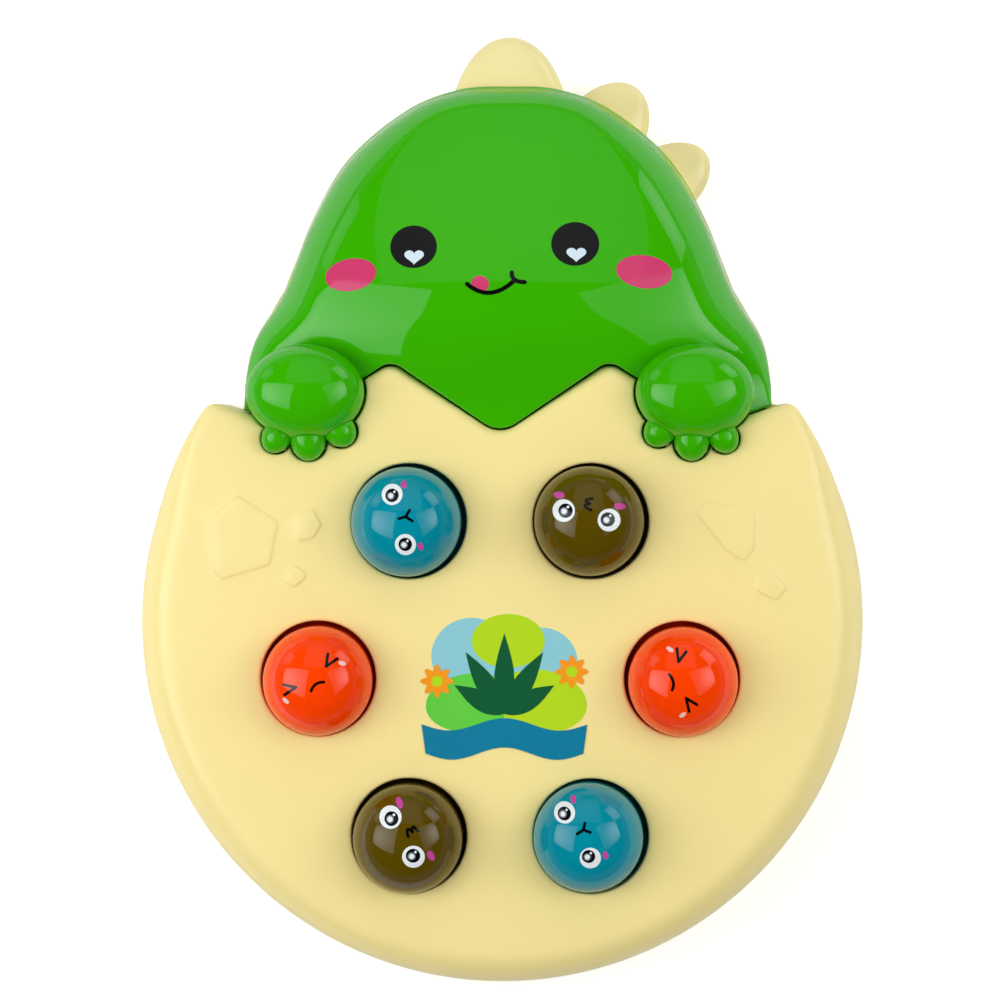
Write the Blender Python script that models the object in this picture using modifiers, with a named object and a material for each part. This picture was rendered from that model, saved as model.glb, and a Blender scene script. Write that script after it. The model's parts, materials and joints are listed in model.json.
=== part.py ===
"""Whack-a-mole toy: an egg-shaped game case with six sprung domes and a hatching head.

The toy lies on its feet, with +Z up, the head towards +Y and the origin under the middle of its
outline. Lengths are in metres and angles in radians.
"""

import math

import bmesh
import bpy
from mathutils import Matrix, Vector

# Outline of the case, measured from the egg's centre
EGG_RADIUS = 0.0954
HEAD_REACH_SHARE = 1.48113
HEAD_HALF_WIDTH_SHARE = 0.72642
HEAD_AXIS_X_SHARE = 0.01677
SHOULDER_REACH_SHARE = 0.64990
HEAD_SIDE_SHARES = (
    (0.97, 0.155),
    (0.86, 0.32),
    (0.75, 0.56),
    (0.61, 0.762),
    (0.39, 0.922),
    (0.19, 0.99),
)

# Zigzag edge of the egg cover
NOTCH_REACH_SHARE = 0.51153
NOTCH_ROUND_SHARE = 0.07652
PEAK_X_SHARE = 0.29769
PEAK_REACH_SHARE = 0.71279
PEAK_ROUND_SHARE = 0.05241
HOLLOW_X_SHARE = 0.57862
HOLLOW_REACH_SHARE = 0.53249
HOLLOW_ROUND_SHARE = 0.03145
TIP_SLOPE = math.radians(19.3)
TIP_ROUND_SHARE = 0.04193
TIP_TAPER_SHARE = 0.36688
NECK_GAP = 0.0006
SHOULDER_ROUND_SHARE = 0.01572

# Heights above the ground
FOOT_PROUD = 0.0015
BASE_HEIGHT = 0.0145
EGG_HEIGHT = 0.0400
EGG_CROWN = 0.0020
NECK_HEIGHT = 0.0400
NECK_DEPTH = 0.0160
CREST_HEIGHT = 0.0480
CREST_REACH_SHARE = 0.83857
FACE_FALL = 0.0270
FACE_CROWN = 0.0163
CROWN_TAPER_SHARE = 0.41929
FACE_MIDDLE_SHARE = 0.3783

# Walls and clearances
WALL = 0.0022
DRAFT = 0.0008
GAP = 0.0003
OVERRUN = 0.0040
MERGE_DISTANCE = 0.00001

# Rounded edges of the covers: how far they reach in, and how far they drop
EGG_EDGE_WIDTH = 0.0090
EGG_EDGE_DROP = 0.0120
RIM_WIDTH = 0.0030
RIM_DROP = 0.0030
HEAD_EDGE_WIDTH = 0.0080
HEAD_EDGE_DROP = 0.0100
HEAD_EDGE_TAPER_SHARE = 0.31447
BASE_EDGE_SHARE = 0.03669

# Raised patches of the egg cover
PATCH_RISE = 0.0005
PATCH_ROUND_SHARE = 0.01258
PATCH_SHARES = (
    ((-0.717, 0.349), (-0.788, 0.289), (-0.780, 0.143), (-0.761, 0.121), (-0.629, 0.160), (-0.605, 0.278)),
    ((-0.512, 0.315), (-0.558, 0.289), (-0.558, 0.223), (-0.509, 0.233), (-0.487, 0.269)),
    ((-0.564, 0.162), (-0.589, 0.113), (-0.560, 0.099), (-0.522, 0.132)),
    ((0.559, 0.338), (0.537, 0.299), (0.616, 0.201), (0.665, 0.170), (0.691, 0.206), (0.693, 0.302)),
    ((0.734, 0.155), (0.699, 0.116), (0.696, 0.092), (0.753, 0.064), (0.781, 0.099)),
)

# Paws; a toe's place is in shares of the paw's half sizes, and so is its radius
PAW_X_SHARE = 0.53040
PAW_REACH_SHARE = 0.63103
PAW_HALF_WIDTH_SHARE = 0.16143
PAW_HALF_LENGTH_SHARE = 0.12998
PAW_EQUATOR_HEIGHT = 0.0425
PAW_RISE = 0.0100
TOE_SHARES = (
    (0.500, -0.976, 0.298),
    (-0.052, -1.065, 0.363),
    (-0.604, -0.831, 0.323),
)
TOE_EQUATOR_HEIGHT = 0.0420
PAW_GAP = 0.0005
NECK_CORNER_SHARE = 0.8

# Crest spikes: place along the head's edge, rise over it and half width there
SPIKE_PLACE_SHARES = {"large": 0.0, "middle": 0.26, "small": 0.457}
SPIKE_RISE = {"large": 0.0132, "middle": 0.0088, "small": 0.0090}
SPIKE_HALF_WIDTH = {"large": 0.0142, "middle": 0.0099, "small": 0.0088}
SPIKE_DEPTH_SHARE = 1.82
SPIKE_INNER_SHARE = 0.06
SPIKE_FLATNESS_SHARE = 0.42
SPIKE_CENTRE_DROP = 0.0071

# Moles
MOLE_NAMES = ("orange_right", "olive_upper", "blue_upper", "orange_left", "olive_lower", "blue_lower")
HOLE_RING_RADIUS_SHARE = 0.49581
HOLE_RING_SETBACK_SHARE = 0.14990
HOLE_RADIUS = 0.01505
MOLE_RADIUS = 0.0143
MOLE_DOME_RISE = 0.0130
MOLE_PROUD = 0.0015
MOLE_WALL = 0.0018
MOLE_TRAVEL = 0.0080
MOLE_STEM_RADIUS = 0.0030
MOLE_LIP_WIDTH = 0.0020
MOLE_LIP_THICKNESS = 0.0016
COLLAR_LENGTH = 0.0115
COLLAR_WALL = 0.0016

# Return springs
SPRING_TURNS = 4
SPRING_POINTS_PER_TURN = 8
SPRING_RADIUS = 0.0051
SPRING_WIRE_RADIUS = 0.0004
SPRING_LENGTH = 0.0218
SPRING_SEAT_RADIUS = 0.0070
SPRING_END_SHARE = 0.55

# Circuit board and what stands on it
BOARD_HEIGHT = 0.0120
BOARD_THICKNESS = 0.0016
BOARD_MARGIN = 0.0105
BOARD_CORNER = 0.0120
BOARD_POST_RADIUS = 0.0032
BOARD_PIN_RADIUS = 0.0012
BOARD_PIN_RISE = 0.0012
BOARD_PIN_SHARE = 0.80
PUSH_SWITCH_SIZE = 0.0060
PUSH_SWITCH_HEIGHT = 0.0035
PUSH_BUTTON_RADIUS = 0.0017
PUSH_BUTTON_RISE = 0.0013
LAMP_RADIUS = 0.0015
LAMP_HEIGHT = 0.0050
LAMP_RIM = 0.0004
LAMP_RIM_HEIGHT = 0.0010
LAMP_OFFSET = 0.0093
CHIP_RADIUS = 0.0065
CHIP_RISE = 0.0014
CHIP_SHARE = 0.36

# Speaker
SPEAKER_RADIUS = 0.0200
SPEAKER_HEIGHT = 0.0068
SPEAKER_RIM = 0.0025
SPEAKER_RIM_THICKNESS = 0.0010
SPEAKER_MAGNET_RADIUS = 0.0090
SPEAKER_MAGNET_HEIGHT = 0.0028
SPEAKER_SHEET = 0.0008
CONE_THICKNESS = 0.0006
SPEAKER_RIB_HEIGHT = 0.0030
GRILLE_SLOTS = 5
GRILLE_PITCH = 0.0055
GRILLE_SLOT_WIDTH = 0.0024
GRILLE_RADIUS = 0.0150

# Battery bay: three AA cells side by side
CELL_COUNT = 3
CELL_RADIUS = 0.00725
CELL_LENGTH = 0.0505
CELL_NUB_LENGTH = 0.0010
CELL_NUB_RADIUS = 0.0027
CELL_PITCH = 0.0152
CELL_CLEARANCE = 0.0005
BAY_SHARE = 0.3909
BAY_WALL = 0.0016
CONTACT_SPACE = 0.0024
CONTACT_THICKNESS = 0.0005
CONTACT_HALF_WIDTH = 0.0055
CONTACT_HALF_HEIGHT = 0.0050
CONTACT_BUMP_RADIUS = 0.0030

# Battery door
DOOR_THICKNESS = 0.0020
DOOR_LEDGE = 0.0015
DOOR_TAB_LENGTH = 0.0025
DOOR_TAB_HALF_WIDTH = 0.0040
DOOR_TAB_X = 0.0150
DOOR_EAR_RADIUS = 0.0046
DOOR_EAR_THICKNESS = 0.0035
DOOR_SCREW_SINK = 0.0020
DOOR_SCREW_LENGTH = 0.0065
DOOR_SCREW_PLAY = 0.0007
DOOR_BOSS_RADIUS = 0.0065
DOOR_BOSS_HEIGHT = 0.0130

# Power switch
POWER_SETBACK = 0.0097
POWER_TRAVEL = 0.0040
KNOB_LENGTH = 0.0032
KNOB_WIDTH = 0.0030
KNOB_PROUD = 0.0008
SLIDE_PLATE_LENGTH = 0.0124
SLIDE_PLATE_WIDTH = 0.0052
SLIDE_PLATE_THICKNESS = 0.0009
POWER_BODY_LENGTH = 0.0190
POWER_BODY_WIDTH = 0.0090
POWER_BODY_HEIGHT = 0.0050
POWER_RIB = 0.0012

# Case screws and their bosses
EGG_SCREW_RADIUS_SHARE = 0.81761
EGG_SCREW_ANGLES = tuple(math.radians(degrees) for degrees in (20, 160, 230, 310))
HEAD_SCREW_X_SHARE = 0.48218
HEAD_SCREW_REACH_SHARE = 1.00629
SCREW_HEAD_RADIUS = 0.0028
SCREW_HEAD_HEIGHT = 0.0020
SCREW_SHANK_RADIUS = 0.0012
SCREW_LENGTH = 0.0140
SCREW_SINK = 0.0060
BOSS_RADIUS = 0.0043
THREAD_DEPTH = 0.0080

# Rubber feet
FOOT_RADIUS = 0.0060
FOOT_SINK = 0.0010
FOOT_CHAMFER = 0.0004
EGG_FOOT_X_SHARE = 0.64990
EGG_FOOT_REACH_SHARE = -0.47170
HEAD_FOOT_X_SHARE = 0.42977
HEAD_FOOT_REACH_SHARE = 1.13208

# Segment counts
ARC_STEPS = 38
CORNER_STEPS = 4
SPLINE_STEPS = 2
ROUND_STEPS = 18
SMALL_ROUND_STEPS = 12
BORE_STEPS = 8
TOE_STEPS = 12
DOME_STEPS = 5
SPIKE_STEPS = 14

# Derived sizes; the plan follows the egg's radius
NOTCH_ROUND = EGG_RADIUS * NOTCH_ROUND_SHARE
PEAK_ROUND = EGG_RADIUS * PEAK_ROUND_SHARE
HOLLOW_ROUND = EGG_RADIUS * HOLLOW_ROUND_SHARE
TIP_ROUND = EGG_RADIUS * TIP_ROUND_SHARE
TIP_TAPER = EGG_RADIUS * TIP_TAPER_SHARE
SHOULDER_ROUND = EGG_RADIUS * SHOULDER_ROUND_SHARE
PAW_HALF_WIDTH = EGG_RADIUS * PAW_HALF_WIDTH_SHARE
PAW_HALF_LENGTH = EGG_RADIUS * PAW_HALF_LENGTH_SHARE
BASE_EDGE = EGG_RADIUS * BASE_EDGE_SHARE
PATCH_ROUND = EGG_RADIUS * PATCH_ROUND_SHARE
HEAD_EDGE_TAPER = EGG_RADIUS * HEAD_EDGE_TAPER_SHARE
CROWN_TAPER = EGG_RADIUS * CROWN_TAPER_SHARE
HEAD_AXIS_X = EGG_RADIUS * HEAD_AXIS_X_SHARE
HEAD_REACH = EGG_RADIUS * HEAD_REACH_SHARE
HEAD_HALF_WIDTH = EGG_RADIUS * HEAD_HALF_WIDTH_SHARE
SHOULDER_REACH = EGG_RADIUS * SHOULDER_REACH_SHARE
NOTCH_REACH = EGG_RADIUS * NOTCH_REACH_SHARE
PEAK_X = EGG_RADIUS * PEAK_X_SHARE
PEAK_REACH = EGG_RADIUS * PEAK_REACH_SHARE
HOLLOW_X = EGG_RADIUS * HOLLOW_X_SHARE
HOLLOW_REACH = EGG_RADIUS * HOLLOW_REACH_SHARE
CREST_REACH = EGG_RADIUS * CREST_REACH_SHARE
PAW_X = EGG_RADIUS * PAW_X_SHARE
PAW_REACH = EGG_RADIUS * PAW_REACH_SHARE
HOLE_RING_RADIUS = EGG_RADIUS * HOLE_RING_RADIUS_SHARE
HOLE_RING_SETBACK = EGG_RADIUS * HOLE_RING_SETBACK_SHARE
EGG_SCREW_RADIUS = EGG_RADIUS * EGG_SCREW_RADIUS_SHARE
HEAD_SCREW_X = EGG_RADIUS * HEAD_SCREW_X_SHARE
HEAD_SCREW_REACH = EGG_RADIUS * HEAD_SCREW_REACH_SHARE
EGG_FOOT_X = EGG_RADIUS * EGG_FOOT_X_SHARE
EGG_FOOT_REACH = EGG_RADIUS * EGG_FOOT_REACH_SHARE
HEAD_FOOT_X = EGG_RADIUS * HEAD_FOOT_X_SHARE
HEAD_FOOT_REACH = EGG_RADIUS * HEAD_FOOT_REACH_SHARE
LENGTH = EGG_RADIUS + HEAD_REACH + SPIKE_RISE["large"]
EGG_Y = EGG_RADIUS - LENGTH / 2
PARTING_Z = FOOT_PROUD + BASE_HEIGHT
FLOOR_Z = FOOT_PROUD + WALL
HOLE_RING_Y = EGG_Y - HOLE_RING_SETBACK
BOARD_TOP_Z = BOARD_HEIGHT + BOARD_THICKNESS
PUSH_SWITCH_TOP_Z = BOARD_TOP_Z + GAP + PUSH_SWITCH_HEIGHT + PUSH_BUTTON_RISE
SPRING_FOOT_Z = BOARD_TOP_Z + GAP
SPRING_SEAT_Z = SPRING_FOOT_Z + SPRING_LENGTH + GAP
STEM_FOOT_Z = PUSH_SWITCH_TOP_Z + GAP + MOLE_TRAVEL
BAY_Y = EGG_Y + SHOULDER_REACH + (HEAD_REACH - SHOULDER_REACH) * BAY_SHARE
BAY_HALF_X = CELL_LENGTH / 2 + CONTACT_SPACE
BAY_HALF_Y = CELL_PITCH * CELL_COUNT / 2 + CELL_CLEARANCE
DOOR_TOP_Z = FOOT_PROUD + DOOR_THICKNESS
CELL_Z = DOOR_TOP_Z + CELL_CLEARANCE + CELL_RADIUS
BAY_CEILING_Z = CELL_Z + CELL_RADIUS + CELL_CLEARANCE
DOOR_HALF_X = BAY_HALF_X + DOOR_LEDGE
DOOR_NEAR_Y = BAY_Y - BAY_HALF_Y - DOOR_LEDGE
DOOR_FAR_Y = BAY_Y + BAY_HALF_Y + DOOR_LEDGE
DOOR_AXIS_Y = DOOR_NEAR_Y - DOOR_TAB_LENGTH
DOOR_AXIS_Z = FOOT_PROUD + DOOR_THICKNESS / 2
DOOR_EAR_Y = DOOR_FAR_Y + DOOR_EAR_RADIUS / 4
POWER_Y = DOOR_AXIS_Y - POWER_SETBACK
NECK_LOW_Z = NECK_HEIGHT - NECK_DEPTH
NECK_OPENING_X = PAW_X + PAW_HALF_WIDTH + PAW_GAP


def clear_scene():
    for old in list(bpy.data.objects):
        bpy.data.objects.remove(old, do_unlink=True)


def make_collection(name, hidden):
    collection = bpy.data.collections.new(name)
    bpy.context.scene.collection.children.link(collection)
    collection.hide_render = hidden
    return collection


def hex_colour(text):
    """Linear RGBA of an sRGB colour such as F5EAA5."""
    channels = [int(text[start : start + 2], 16) / 255 for start in (0, 2, 4)]
    linear = [c / 12.92 if c <= 0.04045 else ((c + 0.055) / 1.055) ** 2.4 for c in channels]
    return (*linear, 1.0)


def make_material(name, colour, roughness, metallic=0.0):
    material = bpy.data.materials.new(name)
    material.use_nodes = True
    material.diffuse_color = hex_colour(colour)
    shader = material.node_tree.nodes["Principled BSDF"]
    shader.inputs["Base Color"].default_value = hex_colour(colour)
    shader.inputs["Roughness"].default_value = roughness
    shader.inputs["Metallic"].default_value = metallic
    return material


def smooth_share(value):
    clamped = min(max(value, 0.0), 1.0)
    return clamped * clamped * (3 - 2 * clamped)


def mix(low, high, share):
    return low + (high - low) * share


def mirrored(points):
    """Points mirrored across the YZ plane, in reverse so that the outline still runs one way round."""
    return [Vector((-point.x, point.y)) for point in reversed(points)]


def arc_points(centre, radius, start, end, steps):
    angles = [mix(start, end, step / steps) for step in range(steps + 1)]
    return [centre + Vector((math.cos(angle), math.sin(angle))) * radius for angle in angles]


def rounded_corner(before, corner, after, radius, steps=CORNER_STEPS):
    """Points of the arc that rounds a corner between two straight runs."""
    to_before = (before - corner).normalized()
    to_after = (after - corner).normalized()
    half_angle = to_before.angle(to_after) / 2
    centre = corner + (to_before + to_after).normalized() * radius / math.sin(half_angle)
    first = corner + to_before * radius / math.tan(half_angle) - centre
    last = corner + to_after * radius / math.tan(half_angle) - centre
    sweep = math.atan2(first.cross(last), first.dot(last))
    return [centre + Matrix.Rotation(sweep * step / steps, 2) @ first for step in range(steps + 1)]


def rounded_polygon(corners, radius, steps=CORNER_STEPS):
    points = []
    for index, corner in enumerate(corners):
        after = corners[(index + 1) % len(corners)]
        points += rounded_corner(corners[index - 1], corner, after, radius, steps)
    return points


def spline_points(knots, before, after, steps):
    """Points of a smooth curve through the knots; before and after only set how its ends run."""
    knots = [before, *knots, after]
    points = []
    for a, b, c, d in zip(knots, knots[1:], knots[2:], knots[3:]):
        for step in range(steps):
            t = step / steps
            slope = (c - a) / 2
            bend = a - b * 2.5 + c * 2 - d / 2
            twist = (d - a) / 2 + (b - c) * 1.5
            points.append(b + slope * t + bend * t**2 + twist * t**3)
    points.append(knots[-2])
    return points


def inset_points(points, distances):
    """Moves each point of a closed outline, counter-clockwise, inwards by its own distance."""
    moved = []
    for index, point in enumerate(points):
        along = (point - points[index - 1]).normalized()
        onward = (points[(index + 1) % len(points)] - point).normalized()
        normal = (along + onward).normalized().orthogonal()
        stretch = max(normal.dot(along.orthogonal()), math.cos(math.pi / 4))
        moved.append(point + normal * distances[index] / stretch)
    return moved


def tip_line_y(x):
    """Height on the plan of the straight run from the hollow to a tip."""
    return EGG_Y + HOLLOW_REACH + (x - HOLLOW_X) * math.tan(TIP_SLOPE)


def tip_arc():
    """Round tip on the right, tangent to the egg's circle and to the zigzag's last run."""
    along = Vector((math.cos(TIP_SLOPE), math.sin(TIP_SLOPE)))
    start = Vector((HOLLOW_X, HOLLOW_REACH)) - Vector((-along.y, along.x)) * TIP_ROUND
    reach = EGG_RADIUS - TIP_ROUND
    half = start.dot(along)
    run = -half + math.sqrt(half * half - start.dot(start) + reach * reach)
    centre = start + along * run
    first = math.atan2(centre.y, centre.x)
    points = arc_points(centre, TIP_ROUND, first, math.pi / 2 + TIP_SLOPE, CORNER_STEPS)
    return [point + Vector((0, EGG_Y)) for point in points]


def egg_arc(tip):
    """The egg's circle from the left tip round to the right tip, without the tips' own points."""
    right = tip[0] - Vector((0, EGG_Y))
    end = math.atan2(right.y, right.x)
    points = arc_points(Vector((0, EGG_Y)), EGG_RADIUS, -math.pi - end, end, ARC_STEPS)
    return points[1:-1]


def zigzag_corners(lift):
    """Hollow, peak and notch of the zigzag's right half."""
    return (
        Vector((HOLLOW_X, EGG_Y + HOLLOW_REACH + lift)),
        Vector((PEAK_X, EGG_Y + PEAK_REACH + lift)),
        Vector((0, EGG_Y + NOTCH_REACH + lift)),
    )


def notch_points(lift):
    """The zigzag between its peaks, from right to left."""
    _, peak, notch = zigzag_corners(lift)
    return rounded_corner(peak, notch, Vector((-peak.x, peak.y)), NOTCH_ROUND)


def peak_points(lift):
    hollow, peak, notch = zigzag_corners(lift)
    return rounded_corner(hollow, peak, notch, PEAK_ROUND)


def egg_outline():
    """Plan of the egg cover, and for each point the share of the wide outer edge that it has."""
    tip = tip_arc()
    arc = egg_arc(tip)
    hollow, peak, _ = zigzag_corners(0)
    hollow_arc = rounded_corner(tip[-1], hollow, peak, HOLLOW_ROUND)
    right = tip + hollow_arc + peak_points(0)
    outline = arc + right + notch_points(0) + mirrored(right)
    spacing = (arc[1] - arc[0]).length
    shares = [
        smooth_share(spacing * min(index + 1, len(arc) - index) / TIP_TAPER) for index in range(len(arc))
    ]
    return outline, shares + [0.0] * (len(outline) - len(arc))


def head_side(side):
    """The head's edge from the shoulder up to the middle of its top, on side 1 or -1."""

    def place(width_share, height_share):
        x = HEAD_AXIS_X + side * HEAD_HALF_WIDTH * width_share
        return Vector((x, EGG_Y + mix(SHOULDER_REACH, HEAD_REACH, height_share)))

    knots = [place(1, 0), *(place(*shares) for shares in HEAD_SIDE_SHARES), place(0, 1)]
    below = place(1, -HEAD_SIDE_SHARES[0][1])
    beyond = place(-HEAD_SIDE_SHARES[-1][0], HEAD_SIDE_SHARES[-1][1])
    return spline_points(knots, below, beyond, SPLINE_STEPS)


def head_edge():
    """The whole visible edge of the head, counter-clockwise from the right shoulder."""
    left = head_side(-1)
    left.reverse()
    return head_side(1) + left[1:]


def shoulder_x(side):
    return HEAD_AXIS_X + side * HEAD_HALF_WIDTH


def face_outline():
    """Plan of the raised head, and for each point the share of the wide outer edge that it has."""
    peak_x = PAW_X - PAW_HALF_WIDTH
    run = (PEAK_REACH - HOLLOW_REACH) / (HOLLOW_X - PEAK_X)
    inner_y = EGG_Y + PEAK_REACH - (peak_x - PEAK_X) * run + NECK_GAP
    outer_x = PAW_X + PAW_HALF_WIDTH * NECK_CORNER_SHARE
    outer_y = tip_line_y(outer_x) + NECK_GAP
    edge = head_edge()

    def neck(side):
        shoulder = Vector((shoulder_x(side), tip_line_y(abs(shoulder_x(side))) + NECK_GAP))
        return [Vector((side * peak_x, inner_y)), Vector((side * outer_x, outer_y)), shoulder]

    right_peak = peak_points(NECK_GAP)
    right_peak.reverse()
    left_peak = mirrored(right_peak)
    notch = notch_points(NECK_GAP)
    notch.reverse()
    left_neck = neck(-1)
    left_neck.reverse()
    bottom = left_neck + left_peak + notch + right_peak + neck(1)
    width_shares = [0.0] * len(bottom) + [
        smooth_share((point.y - bottom[0].y) / HEAD_EDGE_TAPER) for point in edge
    ]
    return bottom + edge, width_shares


def case_outline():
    """Plan of the base: the egg and the head in one."""
    tip = tip_arc()

    def corner(side):
        x = abs(shoulder_x(side))
        inner = Vector((x, tip_line_y(x)))
        above = Vector((x, EGG_Y + SHOULDER_REACH))
        return rounded_corner(tip[-1], inner, above, SHOULDER_ROUND, 2)

    return egg_arc(tip) + tip + corner(1) + head_edge() + mirrored(tip + corner(-1))


def egg_height(point):
    from_centre = (point - Vector((0, EGG_Y))).length / EGG_RADIUS
    return EGG_HEIGHT + EGG_CROWN * (1 - from_centre**2)


def head_height(point):
    """Top of the head: a pillow, highest across the mouth, that falls to the brow, sides and neck."""
    reach = point.y - EGG_Y
    front_share = smooth_share((reach - NOTCH_REACH) / (CREST_REACH - NOTCH_REACH))
    back_share = max(reach - CREST_REACH, 0) / (HEAD_REACH - CREST_REACH)
    crown_share = smooth_share((reach - NOTCH_REACH) / CROWN_TAPER + 0.5)
    side_share = (point.x - HEAD_AXIS_X) / HEAD_HALF_WIDTH
    ridge = mix(NECK_HEIGHT, CREST_HEIGHT, front_share) - FACE_FALL * back_share**2
    return ridge - FACE_CROWN * crown_share * side_share**2


def add_object(name, mesh, collection, material=None):
    thing = bpy.data.objects.new(name, mesh)
    collection.objects.link(thing)
    if material is not None:
        mesh.materials.append(material)
    if collection.hide_render:
        thing.hide_render = True
        thing.display_type = "WIRE"
    return thing


def loft(name, rings, collection, material=None, apex=None):
    """Closed solid through rings of as many points each, from the lowest up; an apex closes the top."""
    count = len(rings[0])
    points = [point for ring in rings for point in ring]
    faces = [tuple(reversed(range(count)))]
    for level in range(len(rings) - 1):
        for index in range(count):
            low, after = level * count + index, level * count + (index + 1) % count
            faces += [(low, after, after + count), (low, after + count, low + count)]
    top = (len(rings) - 1) * count
    if apex is None:
        faces.append(tuple(range(top, top + count)))
    else:
        points.append(apex)
        faces += [(top + index, top + (index + 1) % count, len(points) - 1) for index in range(count)]
    mesh = bpy.data.meshes.new(name)
    mesh.from_pydata(points, [], faces)
    mesh.shade_smooth()
    mesh.set_sharp_from_angle(angle=math.radians(30))
    return add_object(name, mesh, collection, material)


def level_ring(points, z):
    return [Vector((point.x, point.y, z)) for point in points]


def prism(name, points, low, high, collection, material=None):
    return loft(name, [level_ring(points, low), level_ring(points, high)], collection, material)


def domed_solid(name, plan, edges, height_at, centre, inset, low, steps, shares, collection, material=None):
    """Solid over a plan with a rounded upper edge, all its sides moved in by the inset.

    The edges are the width and drop of the wide edge and of the narrow one, which each point's
    share mixes.
    """
    points, width_shares = plan
    (wide, wide_drop), (narrow, narrow_drop) = edges
    widths = [max(mix(narrow, wide, share) - inset, inset * share) for share in width_shares]
    drops = [max(mix(narrow_drop, wide_drop, share) - inset, inset * share) for share in width_shares]
    rings = [level_ring(inset_points(points, [inset] * len(points)), low)]
    for step in range(steps + 1):
        angle = math.pi / 2 * step / steps
        turn = 1 - math.cos(angle)
        reach = [inset + DRAFT * share + width * turn for share, width in zip(width_shares, widths)]
        ring = inset_points(points, reach)
        rings.append(
            [
                Vector((point.x, point.y, height_at(point) - inset - drop * (1 - math.sin(angle))))
                for point, drop in zip(ring, drops)
            ]
        )
    for share in shares:
        ring = [centre.lerp(point.to_2d(), share) for point in rings[steps + 1]]
        rings.append([Vector((point.x, point.y, height_at(point) - inset)) for point in ring])
    apex = Vector((centre.x, centre.y, height_at(centre) - inset))
    return loft(name, rings, collection, material, apex)


def add_box(target, low, high):
    size = Vector(high) - Vector(low)
    matrix = Matrix.Translation((Vector(low) + Vector(high)) / 2) @ Matrix.Diagonal((*size, 1))
    bmesh.ops.create_cube(target, size=1, matrix=matrix)


def add_round(target, place, profile, segments=SMALL_ROUND_STEPS):
    """Adds an upright round solid, given as radius and height from its lower end up."""
    rings = []
    for radius, height in profile:
        around = arc_points(Vector(place), radius, 0, 2 * math.pi, segments)[:-1]
        rings.append([target.verts.new((point.x, point.y, height)) for point in around])
    target.faces.new(reversed(rings[0]))
    target.faces.new(rings[-1])
    for low, high in zip(rings, rings[1:]):
        for index in range(segments):
            after = (index + 1) % segments
            target.faces.new((low[index], low[after], high[after], high[index]))


def add_cylinder(target, place, radius, low, high, segments=SMALL_ROUND_STEPS):
    add_round(target, place, [(radius, low), (radius, high)], segments)


def solid(name, target, collection, material=None):
    mesh = bpy.data.meshes.new(name)
    target.to_mesh(mesh)
    target.free()
    mesh.shade_smooth()
    mesh.set_sharp_from_angle(angle=math.radians(30))
    return add_object(name, mesh, collection, material)


def turned(name, profile, steps, collection, material=None, at=(0, 0, 0)):
    """Solid turned from a profile of radius and height, which runs down its outer side."""
    mesh = bpy.data.meshes.new(name)
    points = [(radius, 0, height) for radius, height in profile]
    edges = [(index, index + 1) for index in range(len(points) - 1)]
    if profile[0][0] > 0:
        edges.append((len(points) - 1, 0))
    mesh.from_pydata(points, edges, [])
    thing = add_object(name, mesh, collection, material)
    thing.location = at
    screw = thing.modifiers.new("Turn", "SCREW")
    screw.steps = steps
    screw.render_steps = steps
    screw.use_smooth_shade = True
    screw.use_merge_vertices = True
    screw.merge_threshold = MERGE_DISTANCE
    return thing


def boolean(target, operation, tool):
    modifier = target.modifiers.new(tool.name, "BOOLEAN")
    modifier.operation = operation
    modifier.object = tool
    modifier.solver = "EXACT"


def cut(target, *tools):
    for tool in tools:
        boolean(target, "DIFFERENCE", tool)


def join(target, *tools):
    for tool in tools:
        boolean(target, "UNION", tool)


def hole_places():
    """Centres of the six holes, counter-clockwise from the right one."""
    centre = Vector((0, HOLE_RING_Y))
    return arc_points(centre, HOLE_RING_RADIUS, 0, 2 * math.pi, 6)[:-1]


def egg_screw_places():
    return [
        Vector((math.cos(angle), math.sin(angle))) * EGG_SCREW_RADIUS + Vector((0, EGG_Y))
        for angle in EGG_SCREW_ANGLES
    ]


def head_screw_places():
    return [Vector((HEAD_AXIS_X + side * HEAD_SCREW_X, EGG_Y + HEAD_SCREW_REACH)) for side in (1, -1)]


def foot_places():
    places = [Vector((side * EGG_FOOT_X, EGG_Y + EGG_FOOT_REACH)) for side in (1, -1)]
    for side in (1, -1):
        places.append(Vector((HEAD_AXIS_X + side * HEAD_FOOT_X, EGG_Y + HEAD_FOOT_REACH)))
    return places


def spike_solid(name, kind, grow, steps, collection, material=None):
    """Egg-shaped spike that leans out square to the head's edge; its widest part is inside the wall."""
    edge = head_side(1)
    edge.reverse()
    lengths = [(b - a).length for a, b in zip(edge, edge[1:])]
    left = SPIKE_PLACE_SHARES[kind] * sum(lengths)
    index = 0
    while left > lengths[index]:
        left -= lengths[index]
        index += 1
    along = (edge[index + 1] - edge[index]).normalized()
    root = edge[index] + along * left
    rise = SPIKE_RISE[kind]
    half_length = rise * SPIKE_DEPTH_SHARE
    root_share = 1 - rise / half_length
    half_width = SPIKE_HALF_WIDTH[kind] / math.sqrt(1 - root_share**2) + grow
    inner = half_length * SPIKE_INNER_SHARE - grow
    rings = steps // 2
    angles = [math.acos(inner / half_length) * ring / rings for ring in range(rings + 1)]
    profile = [(half_width * math.sin(angle), (half_length + grow) * math.cos(angle)) for angle in angles]
    profile.append((0, profile[-1][1]))
    spike = turned(name, profile, steps, collection, material)
    outward = Vector((-along.y, along.x)) if along.x > 0 else Vector((0, 1))
    tilt = math.atan2(outward.y, outward.x)
    centre = root - outward * (half_length - rise)
    spike.location = (centre.x, centre.y, PARTING_Z - SPIKE_CENTRE_DROP)
    turn = Matrix.Rotation(tilt, 4, "Z") @ Matrix.Rotation(math.pi / 2, 4, "Y")
    spike.rotation_euler = turn.to_euler()
    spike.scale = (SPIKE_FLATNESS_SHARE, 1, 1)
    return spike


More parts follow.
